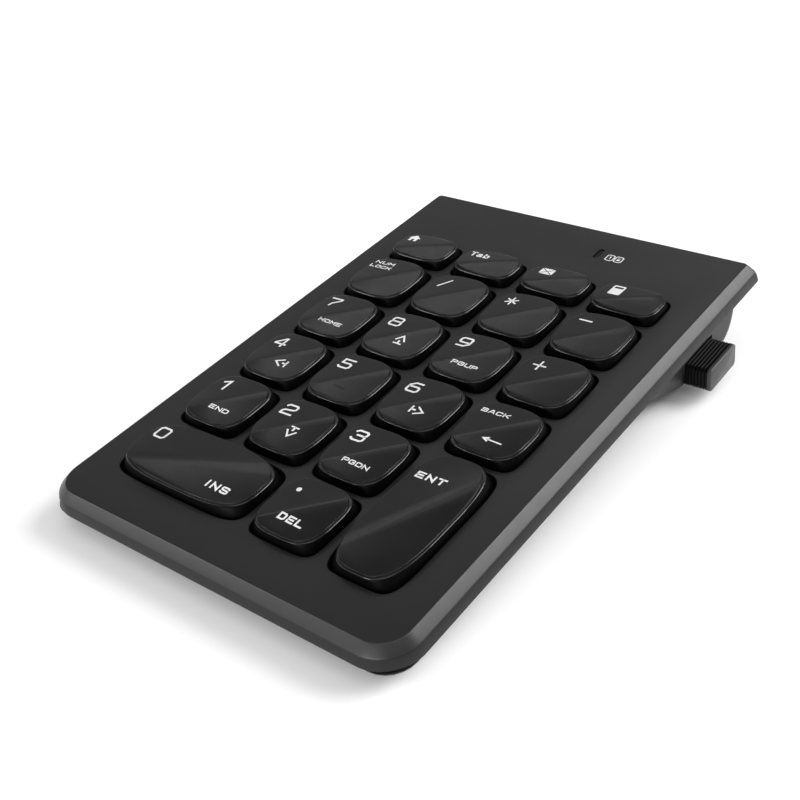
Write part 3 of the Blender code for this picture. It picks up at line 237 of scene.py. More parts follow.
def remap(tree, value, low, high, start=0.0, end=1.0):
    """A value's range from start to end, spread between low and high."""
    made = add_node(tree, "ShaderNodeMapRange")
    for name, number in (("From Min", start), ("From Max", end), ("To Min", low), ("To Max", high)):
        made.inputs[name].default_value = number
    tree.links.new(value, made.inputs["Value"])
    return made.outputs["Result"]


def mixed(tree, factor, first, second):
    """Two colours mixed by a factor; each is a colour or a socket."""
    made = tree.nodes.new("ShaderNodeMix")
    made.data_type = "RGBA"
    tree.links.new(factor, made.inputs["Factor"])
    for socket, colour in ((made.inputs[6], first), (made.inputs[7], second)):
        if isinstance(colour, tuple):
            socket.default_value = (*colour, 1.0)
        else:
            tree.links.new(colour, socket)
    return made.outputs[2]


def surface(name, colour, worn, roughness, grain, grain_depth, metallic=0.0, spread=0.08, shine=0.5):
    """A moulded, printed or drawn surface: two close colours in patches, worn edges, grain and uneven polish.

    grain is in waves per metre, and spread is how far the roughness goes to either side of its middle value.
    """
    made = bpy.data.materials.new(name)
    made.use_nodes = True
    tree = made.node_tree
    shader = tree.nodes["Principled BSDF"]
    place = tree.nodes.new("ShaderNodeTexCoord").outputs["Object"]
    darker = tuple(DARK_PATCH * channel for channel in colour)
    patches = remap(tree, noise(tree, place, PATCH_SCALE, 4.0), 0.0, 1.0, *PATCH_FADE)
    base = mixed(tree, patches, darker, colour)
    edges = tree.nodes.new("ShaderNodeNewGeometry").outputs["Pointiness"]
    rubbed = remap(tree, edges, 0.0, RUBBED_SHARE, *RUBBED_FADE)
    base = mixed(tree, rubbed, base, worn)
    tree.links.new(base, shader.inputs["Base Color"])
    smears = noise(tree, place, SMEAR_SCALE, 3.0, 0.6)
    polish = remap(tree, smears, roughness - spread, roughness + spread, *SMEAR_FADE)
    tree.links.new(polish, shader.inputs["Roughness"])
    shader.inputs["Metallic"].default_value = metallic
    shader.inputs["Specular IOR Level"].default_value = shine
    bump = add_node(tree, "ShaderNodeBump", Strength=BUMP_STRENGTH, Distance=grain_depth)
    tree.links.new(noise(tree, place, grain, 3.0, 0.6), bump.inputs["Height"])
    tree.links.new(bump.outputs["Normal"], shader.inputs["Normal"])
    return made


CASE_PLASTIC = surface(
    "case_plastic", (0.0055, 0.0055, 0.0057), (0.02, 0.02, 0.02),
    roughness=0.40, grain=5200.0, grain_depth=0.008 * MM, spread=0.02,
)
# The case's side wall: the case's own plastic, duller, with its colour painted darker as painted shade
SHADED_WALL_PLASTIC = surface(
    "wall_plastic", (0.0045, 0.0045, 0.0047), (0.02, 0.02, 0.02),
    roughness=0.46, grain=4200.0, grain_depth=0.012 * MM, spread=0.025, shine=0.3,
)
CAP_PLASTIC = surface(
    "cap_plastic", (0.004, 0.004, 0.0042), (0.014, 0.014, 0.014),
    roughness=0.24, grain=3000.0, grain_depth=0.002 * MM, spread=0.02,
)
# The keycaps' skirt: the cap's own plastic, duller, with its colour painted darker as painted shade on the
# lower walls
SHADED_SKIRT_PLASTIC = surface(
    "skirt_plastic", (0.0012, 0.0012, 0.0013), (0.003, 0.003, 0.003),
    roughness=0.4, grain=4200.0, grain_depth=0.006 * MM, shine=0.05,
)
TRAY_PLASTIC = surface(
    "tray_plastic", (0.006, 0.006, 0.0062), (0.02, 0.02, 0.02),
    roughness=0.48, grain=4200.0, grain_depth=0.016 * MM, spread=0.02,
)
RECEIVER_PLASTIC = surface(
    "receiver_plastic", (0.002, 0.002, 0.0022), (0.005, 0.005, 0.005),
    roughness=0.35, grain=4200.0, grain_depth=0.006 * MM, shine=0.12,
)
RECEIVER_END = surface(
    "receiver_end", (0.02, 0.02, 0.02), (0.07, 0.07, 0.07),
    roughness=0.4, grain=5200.0, grain_depth=0.008 * MM,
)
PRINT = surface(
    "print", (0.68, 0.68, 0.68), (0.72, 0.72, 0.72),
    roughness=0.5, grain=4000.0, grain_depth=0.003 * MM,
)
STEEL = surface(
    "steel", (0.52, 0.52, 0.53), (0.7, 0.7, 0.7),
    roughness=0.3, grain=1800.0, grain_depth=0.002 * MM, metallic=1.0, spread=0.03,
)
RUBBER = surface(
    "rubber", (0.028, 0.028, 0.028), (0.06, 0.06, 0.06),
    roughness=0.75, grain=2400.0, grain_depth=0.03 * MM,
)
SILICONE = surface(
    "silicone", (0.50, 0.51, 0.51), (0.6, 0.6, 0.6),
    roughness=0.5, grain=1500.0, grain_depth=0.01 * MM,
)
FILM = surface(
    "film", (0.34, 0.37, 0.35), (0.4, 0.4, 0.4),
    roughness=0.2, grain=900.0, grain_depth=0.004 * MM,
)
CELL_WRAP = surface(
    "cell_wrap", (0.035, 0.06, 0.15), (0.4, 0.4, 0.42),
    roughness=0.3, grain=1600.0, grain_depth=0.006 * MM,
)
BOARD = surface(
    "board", (0.012, 0.09, 0.035), (0.3, 0.24, 0.1),
    roughness=0.35, grain=1300.0, grain_depth=0.02 * MM,
)
LENS = surface(
    "lens", (0.003, 0.0032, 0.0032), (0.01, 0.01, 0.01),
    roughness=0.15, grain=900.0, grain_depth=0.002 * MM, shine=0.2,
)

BY_SLOT = {
    "case_black": TRAY_PLASTIC,
    "cap_black": CAP_PLASTIC,
    "receiver_black": RECEIVER_PLASTIC,
    "silicone": SILICONE,
    "film": FILM,
    "steel": STEEL,
    "cell_wrap": CELL_WRAP,
    "board_green": BOARD,
    "light_plastic": LENS,
    "rubber": RUBBER,
}


def finish_nodes():
    """Every CAD node takes the material of its slot in the record."""
    for part in RECORD["subparts"]:
        mesh = NODES[part["node"]].data
        mesh.materials.clear()
        mesh.materials.append(BY_SLOT[part["material_slot"]])


def smoothed(name):
    """A copy of a CAD node whose curved faces are shaded smooth stands for it."""
    bm = bmesh.new()
    bm.from_mesh(NODES[name].data)
    bmesh.ops.remove_doubles(bm, verts=bm.verts, dist=WELD)
    bmesh.ops.dissolve_limit(bm, angle_limit=FLAT_ANGLE, verts=bm.verts, edges=bm.edges)
    bm.transform(TO_CASE)
    body = NODES[name].parent.name.removeprefix("body:")
    slot = next(part["material_slot"] for part in RECORD["subparts"] if part["node"] == name)
    copy = piece(name + "_smooth", bm, BY_SLOT[slot], body, CURVE_ANGLE)
    even_shading(copy)
    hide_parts(name)


# Mesh helpers

def piece(name, bm, finish, body, sharp=30):
    """A visual piece from a bmesh in the case's frame, riding on a CAD body."""
    mesh = bpy.data.meshes.new(name)
    bm.to_mesh(mesh)
    bm.free()
    mesh.transform(CASE)
    obj = bpy.data.objects.new(name, mesh)
    bpy.context.scene.collection.objects.link(obj)
    mesh.materials.append(finish)
    mesh.shade_smooth()
    mesh.set_sharp_from_angle(angle=math.radians(sharp))
    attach(obj, body)
    return obj


def even_shading(obj):
    """Shading leans on the larger faces, so a flat one stays flat beside a rounding."""
    modifier = obj.modifiers.new("even_shading", "WEIGHTED_NORMAL")
    modifier.keep_sharp = True
    graph = bpy.context.evaluated_depsgraph_get()
    mesh = bpy.data.meshes.new_from_object(obj.evaluated_get(graph))
    obj.modifiers.clear()
    obj.data = mesh


def superellipse(half_x, half_y, power, count=OUTLINE_POINTS):
    """An outline between an ellipse, at power 2, and a box, at a high power."""
    points = []
    for step in range(count):
        turn = 2 * math.pi * step / count
        cosine = math.cos(turn)
        sine = math.sin(turn)
        x = half_x * math.copysign(abs(cosine) ** (2 / power), cosine)
        y = half_y * math.copysign(abs(sine) ** (2 / power), sine)
        points.append((x, y))
    return points


def rounded_outline(half_x, front, rear, front_radius, rear_radius, steps):
    """A box with round corners, from its rear right corner round to its front right one."""
    corners = (
        (half_x - rear_radius, rear - rear_radius, rear_radius, 0),
        (-half_x + rear_radius, rear - rear_radius, rear_radius, 90),
        (-half_x + front_radius, front + front_radius, front_radius, 180),
        (half_x - front_radius, front + front_radius, front_radius, 270),
    )
    points = []
    for x, y, radius, start in corners:
        for step in range(steps + 1):
            turn = math.radians(start + 90 * step / steps)
            points.append((x + radius * math.cos(turn), y + radius * math.sin(turn)))
    return points


def add_loft(bm, rings, last_faces=None):
    """A closed skin over rings of equal length; last_faces splits the last cap into runs of its points."""
    rows = [[bm.verts.new(point) for point in ring] for ring in rings]
    count = len(rows[0])
    for lower, upper in zip(rows, rows[1:]):
        for index in range(count):
            following = (index + 1) % count
            bm.faces.new((lower[index], lower[following], upper[following], upper[index]))
    bm.faces.new(rows[0][::-1])
    if last_faces is None:
        bm.faces.new(rows[-1])
        return
    first, second = last_faces
    bm.faces.new(rows[-1][first : second + 1])
    bm.faces.new(rows[-1][second:] + rows[-1][: first + 1])


# Keycaps and their legends

def fold_height(x, y, half_x, half_y):
    """The height of a cap's top face: two planes that meet on the diagonal."""
    return CAP_TOP - CAP_FOLD * abs(x / half_x - y / half_y)


def make_cap(name):
    """A keycap with its skirt, ledge and folded top; returns its centre and half sizes."""
    low, high = node_box(name)
    x = (low.x + high.x) / 2
    y = (low.y + high.y) / 2
    half_x = (high.x - low.x) / 2
    half_y = (high.y - low.y) / 2
    rings = []
    for inset, power, z in CAP_PROFILE:
        outline = superellipse(half_x - inset * MM, half_y - inset * MM, power)
        rings.append([(x + px, y + py, z * MM) for px, py in outline])
    for inset, share in STEP_PROFILE:
        ring = []
        for px, py in superellipse(half_x - inset * MM, half_y - inset * MM, TOP_POWER):
            top = fold_height(px, py, half_x, half_y)
            ring.append((x + px, y + py, CAP_LEDGE + (top - CAP_LEDGE) * share))
        rings.append(ring)
    bm = bmesh.new()
    eighth = OUTLINE_POINTS // 8
    add_loft(bm, rings, (eighth, 5 * eighth))
    cap = piece(name + "_cap", bm, CAP_PLASTIC, name, CAP_SHARP_ANGLE)
    # Faces below the skirt height take the darker skirt copy of the cap plastic: painted shade on the cap's
    # lower walls
    cap.data.materials.append(SHADED_SKIRT_PLASTIC)
    for face in cap.data.polygons:
        face.material_index = int((TO_CASE @ face.center).z < SHADED_SKIRT_HEIGHT)
    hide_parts(name)
    return x, y, half_x, half_y


BOX = (
    (0.0, 0.16), (0.0, 0.84), (0.16, 1.0), (0.84, 1.0), (1.0, 0.84), (1.0, 0.16), (0.84, 0.0), (0.16, 0.0),
    (0.0, 0.16),
)
# Each character's strokes in a cell one unit wide and one tall; a stroke that ends where it starts is closed
GLYPHS = {
    "0": (BOX,),
    "O": (BOX,),
    "1": (((0.1, 0.76), (0.6, 1.0), (0.6, 0.0)),),
    "2": (((0.0, 0.86), (0.15, 1.0), (0.85, 1.0), (1.0, 0.86), (1.0, 0.62), (0.85, 0.51),
           (0.15, 0.40), (0.0, 0.28), (0.0, 0.0), (1.0, 0.0)),),
    "3": (((0.0, 0.87), (0.15, 1.0), (0.85, 1.0), (1.0, 0.88), (1.0, 0.64), (0.88, 0.53), (0.3, 0.53)),
          ((0.88, 0.53), (1.0, 0.42), (1.0, 0.13), (0.85, 0.0), (0.15, 0.0), (0.0, 0.13))),
    "4": (((0.74, 0.0), (0.74, 1.0), (0.62, 1.0), (0.0, 0.38), (0.0, 0.28), (1.0, 0.28)),),
    "5": (((1.0, 1.0), (0.06, 1.0), (0.06, 0.57), (0.85, 0.57), (1.0, 0.44), (1.0, 0.13),
           (0.85, 0.0), (0.15, 0.0), (0.0, 0.12)),),
    "6": (((0.95, 1.0), (0.36, 1.0), (0.0, 0.70), (0.0, 0.14), (0.15, 0.0), (0.85, 0.0),
           (1.0, 0.14), (1.0, 0.42), (0.85, 0.56), (0.06, 0.56)),),
    "7": (((0.0, 1.0), (1.0, 1.0), (1.0, 0.86), (0.42, 0.3), (0.36, 0.0)),),
    "8": (((0.12, 0.53), (0.04, 0.63), (0.04, 0.88), (0.17, 1.0), (0.83, 1.0), (0.96, 0.88),
           (0.96, 0.63), (0.88, 0.53)),
          ((0.12, 0.53), (0.88, 0.53), (1.0, 0.41), (1.0, 0.13), (0.85, 0.0), (0.15, 0.0),
           (0.0, 0.13), (0.0, 0.41), (0.12, 0.53))),
    "9": (((0.05, 0.0), (0.64, 0.0), (1.0, 0.30), (1.0, 0.86), (0.85, 1.0), (0.15, 1.0),
           (0.0, 0.86), (0.0, 0.58), (0.15, 0.44), (0.94, 0.44)),),
    "A": (((0.0, 0.0), (0.38, 1.0), (0.62, 1.0), (1.0, 0.0)), ((0.14, 0.34), (0.86, 0.34))),
    "B": (((0.0, 0.53), (0.84, 0.53), (0.94, 0.64), (0.94, 0.88), (0.82, 1.0), (0.0, 1.0), (0.0, 0.0),
           (0.86, 0.0), (1.0, 0.13), (1.0, 0.41), (0.84, 0.53)),),
    "C": (((1.0, 0.84), (0.85, 1.0), (0.15, 1.0), (0.0, 0.85), (0.0, 0.15), (0.15, 0.0), (0.85, 0.0),
           (1.0, 0.16)),),
    "D": (((0.0, 0.0), (0.0, 1.0), (0.78, 1.0), (1.0, 0.82), (1.0, 0.18), (0.78, 0.0), (0.0, 0.0)),),
    "E": (((1.0, 1.0), (0.0, 1.0), (0.0, 0.0), (1.0, 0.0)), ((0.0, 0.5), (0.86, 0.5))),
    "G": (((1.0, 0.84), (0.85, 1.0), (0.15, 1.0), (0.0, 0.85), (0.0, 0.15), (0.15, 0.0), (0.85, 0.0),
           (1.0, 0.15), (1.0, 0.48), (0.55, 0.48)),),
    "H": (((0.0, 0.0), (0.0, 1.0)), ((1.0, 0.0), (1.0, 1.0)), ((0.0, 0.5), (1.0, 0.5))),
    "I": (((0.5, 0.0), (0.5, 1.0)),),
    "K": (((0.0, 0.0), (0.0, 1.0)), ((0.0, 0.5), (0.3, 0.5), (1.0, 1.0)), ((0.3, 0.5), (1.0, 0.0))),
    "L": (((0.0, 1.0), (0.0, 0.0), (1.0, 0.0)),),
    "M": (((0.0, 0.0), (0.0, 1.0), (0.5, 0.42), (1.0, 1.0), (1.0, 0.0)),),
    "N": (((0.0, 0.0), (0.0, 1.0), (1.0, 0.0), (1.0, 1.0)),),
    "P": (((0.0, 0.0), (0.0, 1.0), (0.85, 1.0), (1.0, 0.88), (1.0, 0.57), (0.85, 0.44), (0.0, 0.44)),),
    "S": (((1.0, 0.86), (0.87, 1.0), (0.13, 1.0), (0.0, 0.88), (0.0, 0.64), (0.13, 0.52), (0.87, 0.48),
           (1.0, 0.37), (1.0, 0.13), (0.87, 0.0), (0.13, 0.0), (0.0, 0.14)),),
    "T": (((0.0, 1.0), (1.0, 1.0)), ((0.5, 1.0), (0.5, 0.0))),
    "U": (((0.0, 1.0), (0.0, 0.15), (0.15, 0.0), (0.85, 0.0), (1.0, 0.15), (1.0, 1.0)),),
    "a": (((0.1, 0.68), (0.72, 0.68), (0.88, 0.55), (0.88, 0.0), (0.15, 0.0), (0.0, 0.12), (0.0, 0.25),
           (0.15, 0.36), (0.88, 0.36)),),
    "b": (((0.0, 1.0), (0.0, 0.0), (0.72, 0.0), (0.88, 0.13), (0.88, 0.54), (0.72, 0.68), (0.0, 0.68)),),
}


def add_stroke(bm, points, width):
    """A flat ribbon of constant width along a path; a path that ends where it starts is closed."""
    path = [Vector(point) for point in points]
    closed = (path[0] - path[-1]).length < 1e-9
    if closed:
        path.pop()
    count = len(path)
    pairs = []
    for index, point in enumerate(path):
        before = path[index - 1] if index or closed else None
        after = path[(index + 1) % count] if index < count - 1 or closed else None
        incoming = (point - before).normalized() if before is not None else None
        outgoing = (after - point).normalized() if after is not None else None
        if incoming is None or outgoing is None:
            heading = outgoing if incoming is None else incoming
            side = Vector((-heading.y, heading.x)) * width / 2
            end = heading * (width / 2) * (1 if outgoing is None else -1)
            pairs.append((point + side + end, point - side + end))
            continue
        heading = (incoming + outgoing).normalized()
        side = Vector((-heading.y, heading.x))
        reach = width / 2 / max(MITRE_LIMIT, side.dot(Vector((-incoming.y, incoming.x))))
        pairs.append((point + side * reach, point - side * reach))
    rows = [[bm.verts.new((*spot, 0.0)) for spot in pair] for pair in pairs]
    for index in range(count if closed else count - 1):
        a = rows[index]
        b = rows[(index + 1) % count]
        bm.faces.new((a[0], a[1], b[1], b[0]))


def add_patch(bm, points):
    """A flat filled shape."""
    bm.faces.new([bm.verts.new((x, y, 0.0)) for x, y in points])


def add_word(bm, text, x, y, style, width=None):
    """Characters centred on x, y, in millimetres; width is the whole word's."""
    height, share, stroke = style
    advances = [NARROW_LETTER if letter == "I" else 1.0 for letter in text]
    letter_width = height * share
    gap = stroke * LETTER_GAP
    total = sum(advances) * letter_width + gap * (len(text) - 1)
    stretch = 1.0 if width is None else (width - stroke) / total
    left = x - total * stretch / 2
    foot = y - height / 2 + stroke / 2
    for letter, advance in zip(text, advances):
        cell = letter_width * advance * stretch
        for path in GLYPHS[letter]:
            points = [(left + px * cell, foot + py * (height - stroke)) for px, py in path]
            add_stroke(bm, points, stroke)
        left += cell + gap * stretch


def add_arrow(bm, x, y, heading):
    """An arrow sign: an open head and a separate barred tail, pointing along heading degrees."""
    turn = Matrix.Rotation(math.radians(heading), 2)

    def placed(points):
        return [tuple(turn @ Vector(point) + Vector((x, y))) for point in points]

    add_stroke(bm, placed(((-0.2, 1.1), (1.45, 0.0), (-0.2, -1.1))), 0.40)
    add_stroke(bm, placed(((-1.45, -0.85), (-1.45, 0.85))), 0.40)
    add_stroke(bm, placed(((-1.3, 0.0), (-0.55, 0.0))), 0.46)


def add_back_arrow(bm, x, y):
    """An arrow with a solid head that points left."""
    add_stroke(bm, ((x - 1.0, y), (x + 2.2, y)), 0.32)
    add_patch(bm, ((x - 2.3, y), (x - 0.7, y - 0.75), (x - 0.7, y + 0.75)))


def add_bar(bm, low_x, low_y, high_x, high_y):
    """A flat box between two corners."""
    add_patch(bm, ((low_x, low_y), (high_x, low_y), (high_x, high_y), (low_x, high_y)))


def add_dot(bm, x, y, radius):
    """A filled octagon."""
    turns = [math.radians(22.5 + 45 * step) for step in range(8)]
    add_patch(bm, [(x + radius * math.cos(turn), y + radius * math.sin(turn)) for turn in turns])


def add_star(bm, x, y, reach):
    """Three strokes crossed at one point."""
    for angle in (30, 90, 150):
        arm = Vector((math.cos(math.radians(angle)), math.sin(math.radians(angle)))) * reach
        add_stroke(bm, ((x - arm.x, y - arm.y), (x + arm.x, y + arm.y)), MATH_STROKE)


def add_house(bm, x, y):
    """A roof over two walls, with a doorway between them."""
    add_patch(bm, ((x - 1.7, y + 0.1), (x + 1.7, y + 0.1), (x, y + 1.6)))
    add_bar(bm, x - 1.15, y - 1.4, x - 0.4, y + 0.1)
    add_bar(bm, x + 0.4, y - 1.4, x + 1.15, y + 0.1)
    add_bar(bm, x - 0.4, y - 0.4, x + 0.4, y + 0.1)


def add_envelope(bm, x, y):
    """Four flaps with dark folds between them."""
    w, h, gap = 1.75, 1.3, 0.16
    add_patch(bm, ((x - w + gap, y + h), (x, y + gap * 0.6), (x + w - gap, y + h)))
    add_patch(bm, ((x - w, y + h - gap), (x - w, y - h + gap), (x - gap * 1.6, y)))
    add_patch(bm, ((x + w, y - h + gap), (x + w, y + h - gap), (x + gap * 1.6, y)))
    add_patch(bm, ((x - w + gap, y - h), (x + w - gap, y - h), (x, y - gap * 0.6)))


def add_calculator(bm, x, y):
    """A solid body with a dark window across its top."""
    w, h, cut = 1.5, 2.0, 0.25
    add_patch(bm, ((x - w, y + 1.5), (x + w, y + 1.5), (x + w, y + h - cut), (x + w - cut, y + h),
                   (x - w + cut, y + h), (x - w, y + h - cut)))
    add_bar(bm, x - w, y + 0.75, x - w + 0.42, y + 1.5)
    add_bar(bm, x + w - 0.42, y + 0.75, x + w, y + 1.5)
    add_patch(bm, ((x - w + cut, y - h), (x + w - cut, y - h), (x + w, y - h + cut), (x + w, y + 0.75),
                   (x - w, y + 0.75), (x - w, y - h + cut)))


# Each key's signs: what draws it, then its text if it is a word, its place from the cap's centre in
# millimetres (two ends, for a stroke), and its size or heading
LEGENDS = {
    "7": ((add_word, "7", -4.2, 3.75, DIGIT), (add_word, "HOME", 0.7, -3.55, WORD, 6.5)),
    "9": ((add_word, "9", -4.2, 3.75, DIGIT), (add_word, "PGUP", 0.7, -3.55, WORD, 6.5)),
    "1": ((add_word, "1", -4.2, 3.75, DIGIT), (add_word, "END", 0.7, -3.55, WORD, 5.4)),
    "3": ((add_word, "3", -4.2, 3.75, DIGIT), (add_word, "PGDN", 0.7, -3.55, WORD, 6.5)),
    "8": ((add_word, "8", -4.2, 3.6, DIGIT), (add_arrow, 1.3, -2.1, 90)),
    "4": ((add_word, "4", -4.2, 3.6, DIGIT), (add_arrow, 1.3, -2.8, 180)),
    "6": ((add_word, "6", -4.2, 3.6, DIGIT), (add_arrow, 1.3, -2.8, 0)),
    "2": ((add_word, "2", -4.2, 3.6, DIGIT), (add_arrow, 1.3, -2.1, 270)),
    "5": ((add_word, "5", -4.0, 3.7, DIGIT),),
    "0": ((add_word, "0", -14.0, 3.3, DIGIT), (add_word, "INS", 9.2, -3.7, LARGE_WORD, 6.1)),
    "decimal": ((add_dot, -4.3, 3.75, 0.62), (add_word, "DEL", 0.3, -3.7, LARGE_WORD, 6.0)),
    "enter": ((add_word, "ENT", -2.6, 9.3, LARGE_WORD, 6.9),),
    "backspace": ((add_word, "BACK", -3.0, 4.2, WORD, 6.7), (add_back_arrow, 1.2, -3.7)),
    "num_lock": ((add_word, "NUM", -4.1, 5.0, WORD, 5.6), (add_word, "LOCK", -4.1, 3.0, WORD, 6.4)),
    "tab": ((add_word, "Tab", -3.5, 2.2, MIXED_WORD, 5.6),),
    "plus": (
        (add_stroke, ((-5.3, 3.5), (-2.5, 3.5)), MATH_STROKE),
        (add_stroke, ((-3.9, 2.0), (-3.9, 5.0)), MATH_STROKE),
    ),
    "minus": ((add_stroke, ((-5.3, 4.0), (-2.5, 4.0)), 0.46),),
    "divide": ((add_stroke, ((-4.8, 1.9), (-2.9, 5.2)), MATH_STROKE),),
    "multiply": ((add_star, -4.1, 3.7, 1.45),),
    "home": ((add_house, -4.9, 2.3),),
    "mail": ((add_envelope, -3.6, 2.4),),
    "calculator": ((add_calculator, -3.9, 2.0),),
}


def make_legend(name, x, y, half_x, half_y):
    """The print lies on the cap's two planes, cut where it crosses the fold."""
    bm = bmesh.new()
    for draw, *settings in LEGENDS[name.removeprefix("key_")]:
        draw(bm, *settings)
    bmesh.ops.scale(bm, vec=(MM, MM, MM), verts=bm.verts)
    across = Vector((1 / half_x, -1 / half_y, 0.0)).normalized()
    geometry = bm.verts[:] + bm.edges[:] + bm.faces[:]
    bmesh.ops.bisect_plane(bm, geom=geometry, plane_co=(0.0, 0.0, 0.0), plane_no=across, dist=1e-7)
    for vertex in bm.verts:
        vertex.co.z = fold_height(vertex.co.x, vertex.co.y, half_x, half_y) + PRINT_LIFT
        vertex.co.x += x
        vertex.co.y += y
    bmesh.ops.recalc_face_normals(bm, faces=bm.faces)
    face_up(bm)
    legend = piece(name + "_print", bm, PRINT, name)


def face_up(bm):
    """Flat print shows its front upwards."""
    for face in bm.faces:
        if face.normal.z < 0:
            face.normal_flip()


def make_touch_bar(x, y, half_x, half_y):
    """The raised bar on the 5."""
    bm = bmesh.new()
    base = fold_height(0.0, TOUCH_BAR_Y, half_x, half_y) - TOUCH_BAR_SINK
    bar_half_x, bar_half_y = TOUCH_BAR_HALF
    rings = []
    for grow, z in TOUCH_BAR_PROFILE:
        outline = superellipse(
            (bar_half_x + grow) * MM, (bar_half_y + grow) * MM, TOUCH_BAR_POWER, TOUCH_BAR_POINTS
        )
        rings.append([(x + px, y + TOUCH_BAR_Y + py, base + z * MM) for px, py in outline])
    add_loft(bm, rings)
    bar = piece("key_5_touch_bar", bm, CAP_PLASTIC, "key_5", 40)


def make_keys():
    """Every key; returns each cap's centre and half sizes, for the openings."""
    wells = []
    for name in sorted(node for node in NODES if node.startswith("key_")):
        place = make_cap(name)
        make_legend(name, *place)
        wells.append(place)
        if name == "key_5":
            make_touch_bar(*place)
    return wells


# Case

def make_case_blank():
    """The cover with its finely rounded rim, before it is opened."""
    bm = bmesh.new()
    rings = []
    for side, rear, depth in RIM_PROFILE:
        outline = rounded_outline(
            RIM_HALF_X + side * MM,
            -RIM_HALF_Y - side * MM,
            RIM_HALF_Y + rear * MM,
            FRONT_CORNER + side * MM,
            max(REAR_CORNER + rear * REAR_CORNER_GROWTH * MM, SMALLEST_CORNER),
            CORNER_STEPS,
        )
        rings.append([(x, y, -depth * MM) for x, y in outline])
    add_loft(bm, rings)
    return piece("case_top", bm, CASE_PLASTIC, "case")


def make_case_cutter(wells):
    """A plug for every key's opening and one for the light's slit."""
    bm = bmesh.new()
    for x, y, half_x, half_y in wells:
        rings = []
        for grow, z in ((0.0, WELL_FLOOR), (0.0, -WELL_EDGE), (WELL_EDGE, HAIR), (WELL_EDGE, CUT_REACH)):
            reach = WELL_CLEARANCE + grow
            outline = superellipse(half_x + reach, half_y + reach, WELL_POWER)
            rings.append([(x + px, y + py, z) for px, py in outline])
        add_loft(bm, rings)
    low, high = node_box("light_guide")
    outline = rounded_outline(
        (high.x - low.x) / 2 + SLIT_CLEARANCE,
        low.y - SLIT_CLEARANCE,
        high.y + SLIT_CLEARANCE,
        SLIT_CORNER,
        SLIT_CORNER,
        SLIT_STEPS,
    )
    middle = (low.x + high.x) / 2
    add_loft(bm, [[(middle + x, y, z) for x, y in outline] for z in (SLIT_FLOOR, CUT_REACH)])
    return piece("wells", bm, CASE_PLASTIC, "case")


def make_case_top(wells):
    """The cover with an opening for every key and the slit for the light, and its side walls in a duller,
    darker copy of its plastic: painted shade.
    """
    case = make_case_blank()
    cutter = make_case_cutter(wells)
    modifier = case.modifiers.new("wells", "BOOLEAN")
    modifier.operation = "DIFFERENCE"
    modifier.solver = "EXACT"
    modifier.object = cutter
    graph = bpy.context.evaluated_depsgraph_get()
    cut = bpy.data.meshes.new_from_object(case.evaluated_get(graph))
    case.modifiers.clear()
    case.data = cut
    bpy.data.objects.remove(cutter, do_unlink=True)
    # Faces below the wall height take the darker wall copy of the case plastic: painted shade on the side
    # walls
    cut.materials.append(SHADED_WALL_PLASTIC)
    for face in cut.polygons:
        face.material_index = int((TO_CASE @ face.center).z < SHADED_WALL_TOP)
    cut.shade_smooth()
    cut.set_sharp_from_angle(angle=math.radians(30))
    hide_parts("top_case")


def add_lock_box(bm, x, y):
    """A box with cut corners round one sign."""
    half_x, half_y, cut = LOCK_BOX
    points = [
        (-half_x, cut - half_y),
        (-half_x, half_y - cut),
        (cut - half_x, half_y),
        (half_x - cut, half_y),
        (half_x, half_y - cut),
        (half_x, cut - half_y),
        (half_x - cut, -half_y),
        (cut - half_x, -half_y),
        (-half_x, cut - half_y),
    ]
    add_stroke(bm, [(x + px, y + py) for px, py in points], LOCK_BOX_STROKE)


def make_lock_sign():
    """Beside the light: a 1 in a box and a padlock in a box."""
    bm = bmesh.new()
    one_x, lock_x = LOCK_SIGN_X
    y = LOCK_SIGN_Y
    add_lock_box(bm, one_x, y)
    add_stroke(bm, ((one_x - 0.2, y + 0.35), (one_x + 0.08, y + 0.55), (one_x + 0.08, y - 0.55)), 0.2)
    add_lock_box(bm, lock_x, y)
    add_bar(bm, lock_x - 0.4, y - 0.55, lock_x + 0.4, y + 0.05)
    shackle = ((-0.24, 0.0), (-0.24, 0.45), (0.24, 0.45), (0.24, 0.0))
    add_stroke(bm, [(lock_x + px, y + py) for px, py in shackle], 0.14)
    for vertex in bm.verts:
        vertex.co = Vector((vertex.co.x * MM, vertex.co.y * MM, PRINT_LIFT))
    bmesh.ops.recalc_face_normals(bm, faces=bm.faces)
    face_up(bm)
    piece("lock_sign", bm, PRINT, "case")


# Receiver

def make_receiver():
    """The ribbed grip with its plain end plate."""
    low, high = node_box("receiver_body")
    middle_y = (low.y + high.y) / 2
    middle_z = (low.z + high.z) / 2
    half_y = (high.y - low.y) / 2
    half_z = (high.z - low.z) / 2

    def ring(x, inset):
        corner = RECEIVER_CORNER - inset
        outline = rounded_outline(
            half_y - inset, inset - half_z, half_z - inset, corner, corner, RECEIVER_CORNER_STEPS
        )
        return [(x, middle_y + y, middle_z + z) for y, z in outline]

    rings = [ring(low.x, RECEIVER_EDGE), ring(low.x + RECEIVER_EDGE, 0.0)]
    for rib in range(RIB_COUNT):
        x = low.x + FIRST_RIB + rib * RIB_STEP
        rings += [ring(x + along * MM, deep * MM) for along, deep in GROOVE_PROFILE]
    rings += [ring(high.x - back * MM, inset * MM) for back, inset in GRIP_END_PROFILE]
    bm = bmesh.new()
    add_loft(bm, rings)
    grip = piece("receiver_grip", bm, RECEIVER_PLASTIC, "receiver")
    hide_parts("receiver_body")
    bm = bmesh.new()
    add_loft(bm, [ring(high.x - back * MM, inset * MM) for back, inset in END_PLATE_PROFILE])
    piece("receiver_end", bm, RECEIVER_END, "receiver", 40)


# Floor, light and camera

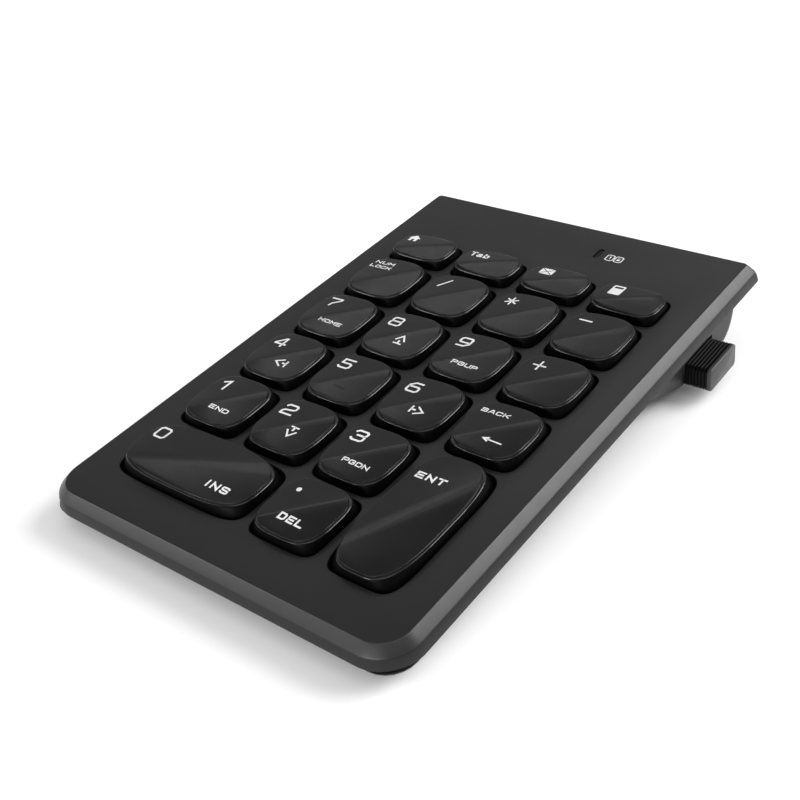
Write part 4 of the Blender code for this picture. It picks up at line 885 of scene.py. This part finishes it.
def make_floor():
    """A plain pale square under the object."""
    mesh = bpy.data.meshes.new("floor")
    reach = FLOOR_REACH
    corners = [(-reach, -reach, 0.0), (reach, -reach, 0.0), (reach, reach, 0.0), (-reach, reach, 0.0)]
    mesh.from_pydata(corners, [], [(0, 1, 2, 3)])
    floor = bpy.data.objects.new("floor", mesh)
    bpy.context.scene.collection.objects.link(floor)
    finish = bpy.data.materials.new("floor")
    finish.use_nodes = True
    shader = finish.node_tree.nodes["Principled BSDF"]
    shader.inputs["Base Color"].default_value = FLOOR_COLOUR
    shader.inputs["Roughness"].default_value = FLOOR_ROUGHNESS
    shader.inputs["Specular IOR Level"].default_value = 0.0
    mesh.materials.append(finish)


def make_light(name, place, size, power):
    """A rectangular soft light that faces the object."""
    data = bpy.data.lights.new(name, "AREA")
    data.shape = "RECTANGLE"
    data.size, data.size_y = size
    data.energy = power
    light = bpy.data.objects.new(name, data)
    light.location = place
    light.rotation_euler = (-Vector(place)).to_track_quat("-Z", "Y").to_euler()
    bpy.context.scene.collection.objects.link(light)


def make_studio():
    """A pale horizon under a dim sky, and the soft lights."""
    world = bpy.data.worlds.new("studio")
    world.use_nodes = True
    tree = world.node_tree
    direction = tree.nodes.new("ShaderNodeTexCoord").outputs["Generated"]
    split = tree.nodes.new("ShaderNodeSeparateXYZ")
    tree.links.new(direction, split.inputs["Vector"])
    shade = tree.nodes.new("ShaderNodeValToRGB")
    ramp = shade.color_ramp
    while len(ramp.elements) < len(SKY):
        ramp.elements.new(1.0)
    for stop, (height, strength) in zip(ramp.elements, SKY):
        stop.position = height
        stop.color = (strength, strength, strength, 1.0)
    tree.links.new(split.outputs["Z"], shade.inputs["Fac"])
    tree.links.new(shade.outputs["Color"], tree.nodes["Background"].inputs["Color"])
    bpy.context.scene.world = world
    for light in LIGHTS:
        make_light(*light)


def make_camera():
    """The main view's camera."""
    data = bpy.data.cameras.new("camera")
    data.sensor_width = CAMERA_SENSOR
    data.lens = CAMERA_LENS
    data.clip_start = CAMERA_NEAR
    camera = bpy.data.objects.new("camera", data)
    back = CAMERA_RIGHT.cross(CAMERA_UP).normalized()
    axes = Matrix((CAMERA_RIGHT, CAMERA_UP, back)).transposed().to_4x4()
    camera.matrix_world = CASE @ Matrix.Translation(CAMERA_PLACE) @ axes
    bpy.context.scene.collection.objects.link(camera)
    bpy.context.scene.camera = camera


finish_nodes()
make_case_top(make_keys())
make_lock_sign()
make_receiver()
for node in NODES:
    if node.startswith(SMOOTHED):
        smoothed(node)
make_floor()
make_studio()
make_camera()
bpy.context.scene.view_settings.view_transform = "Standard"
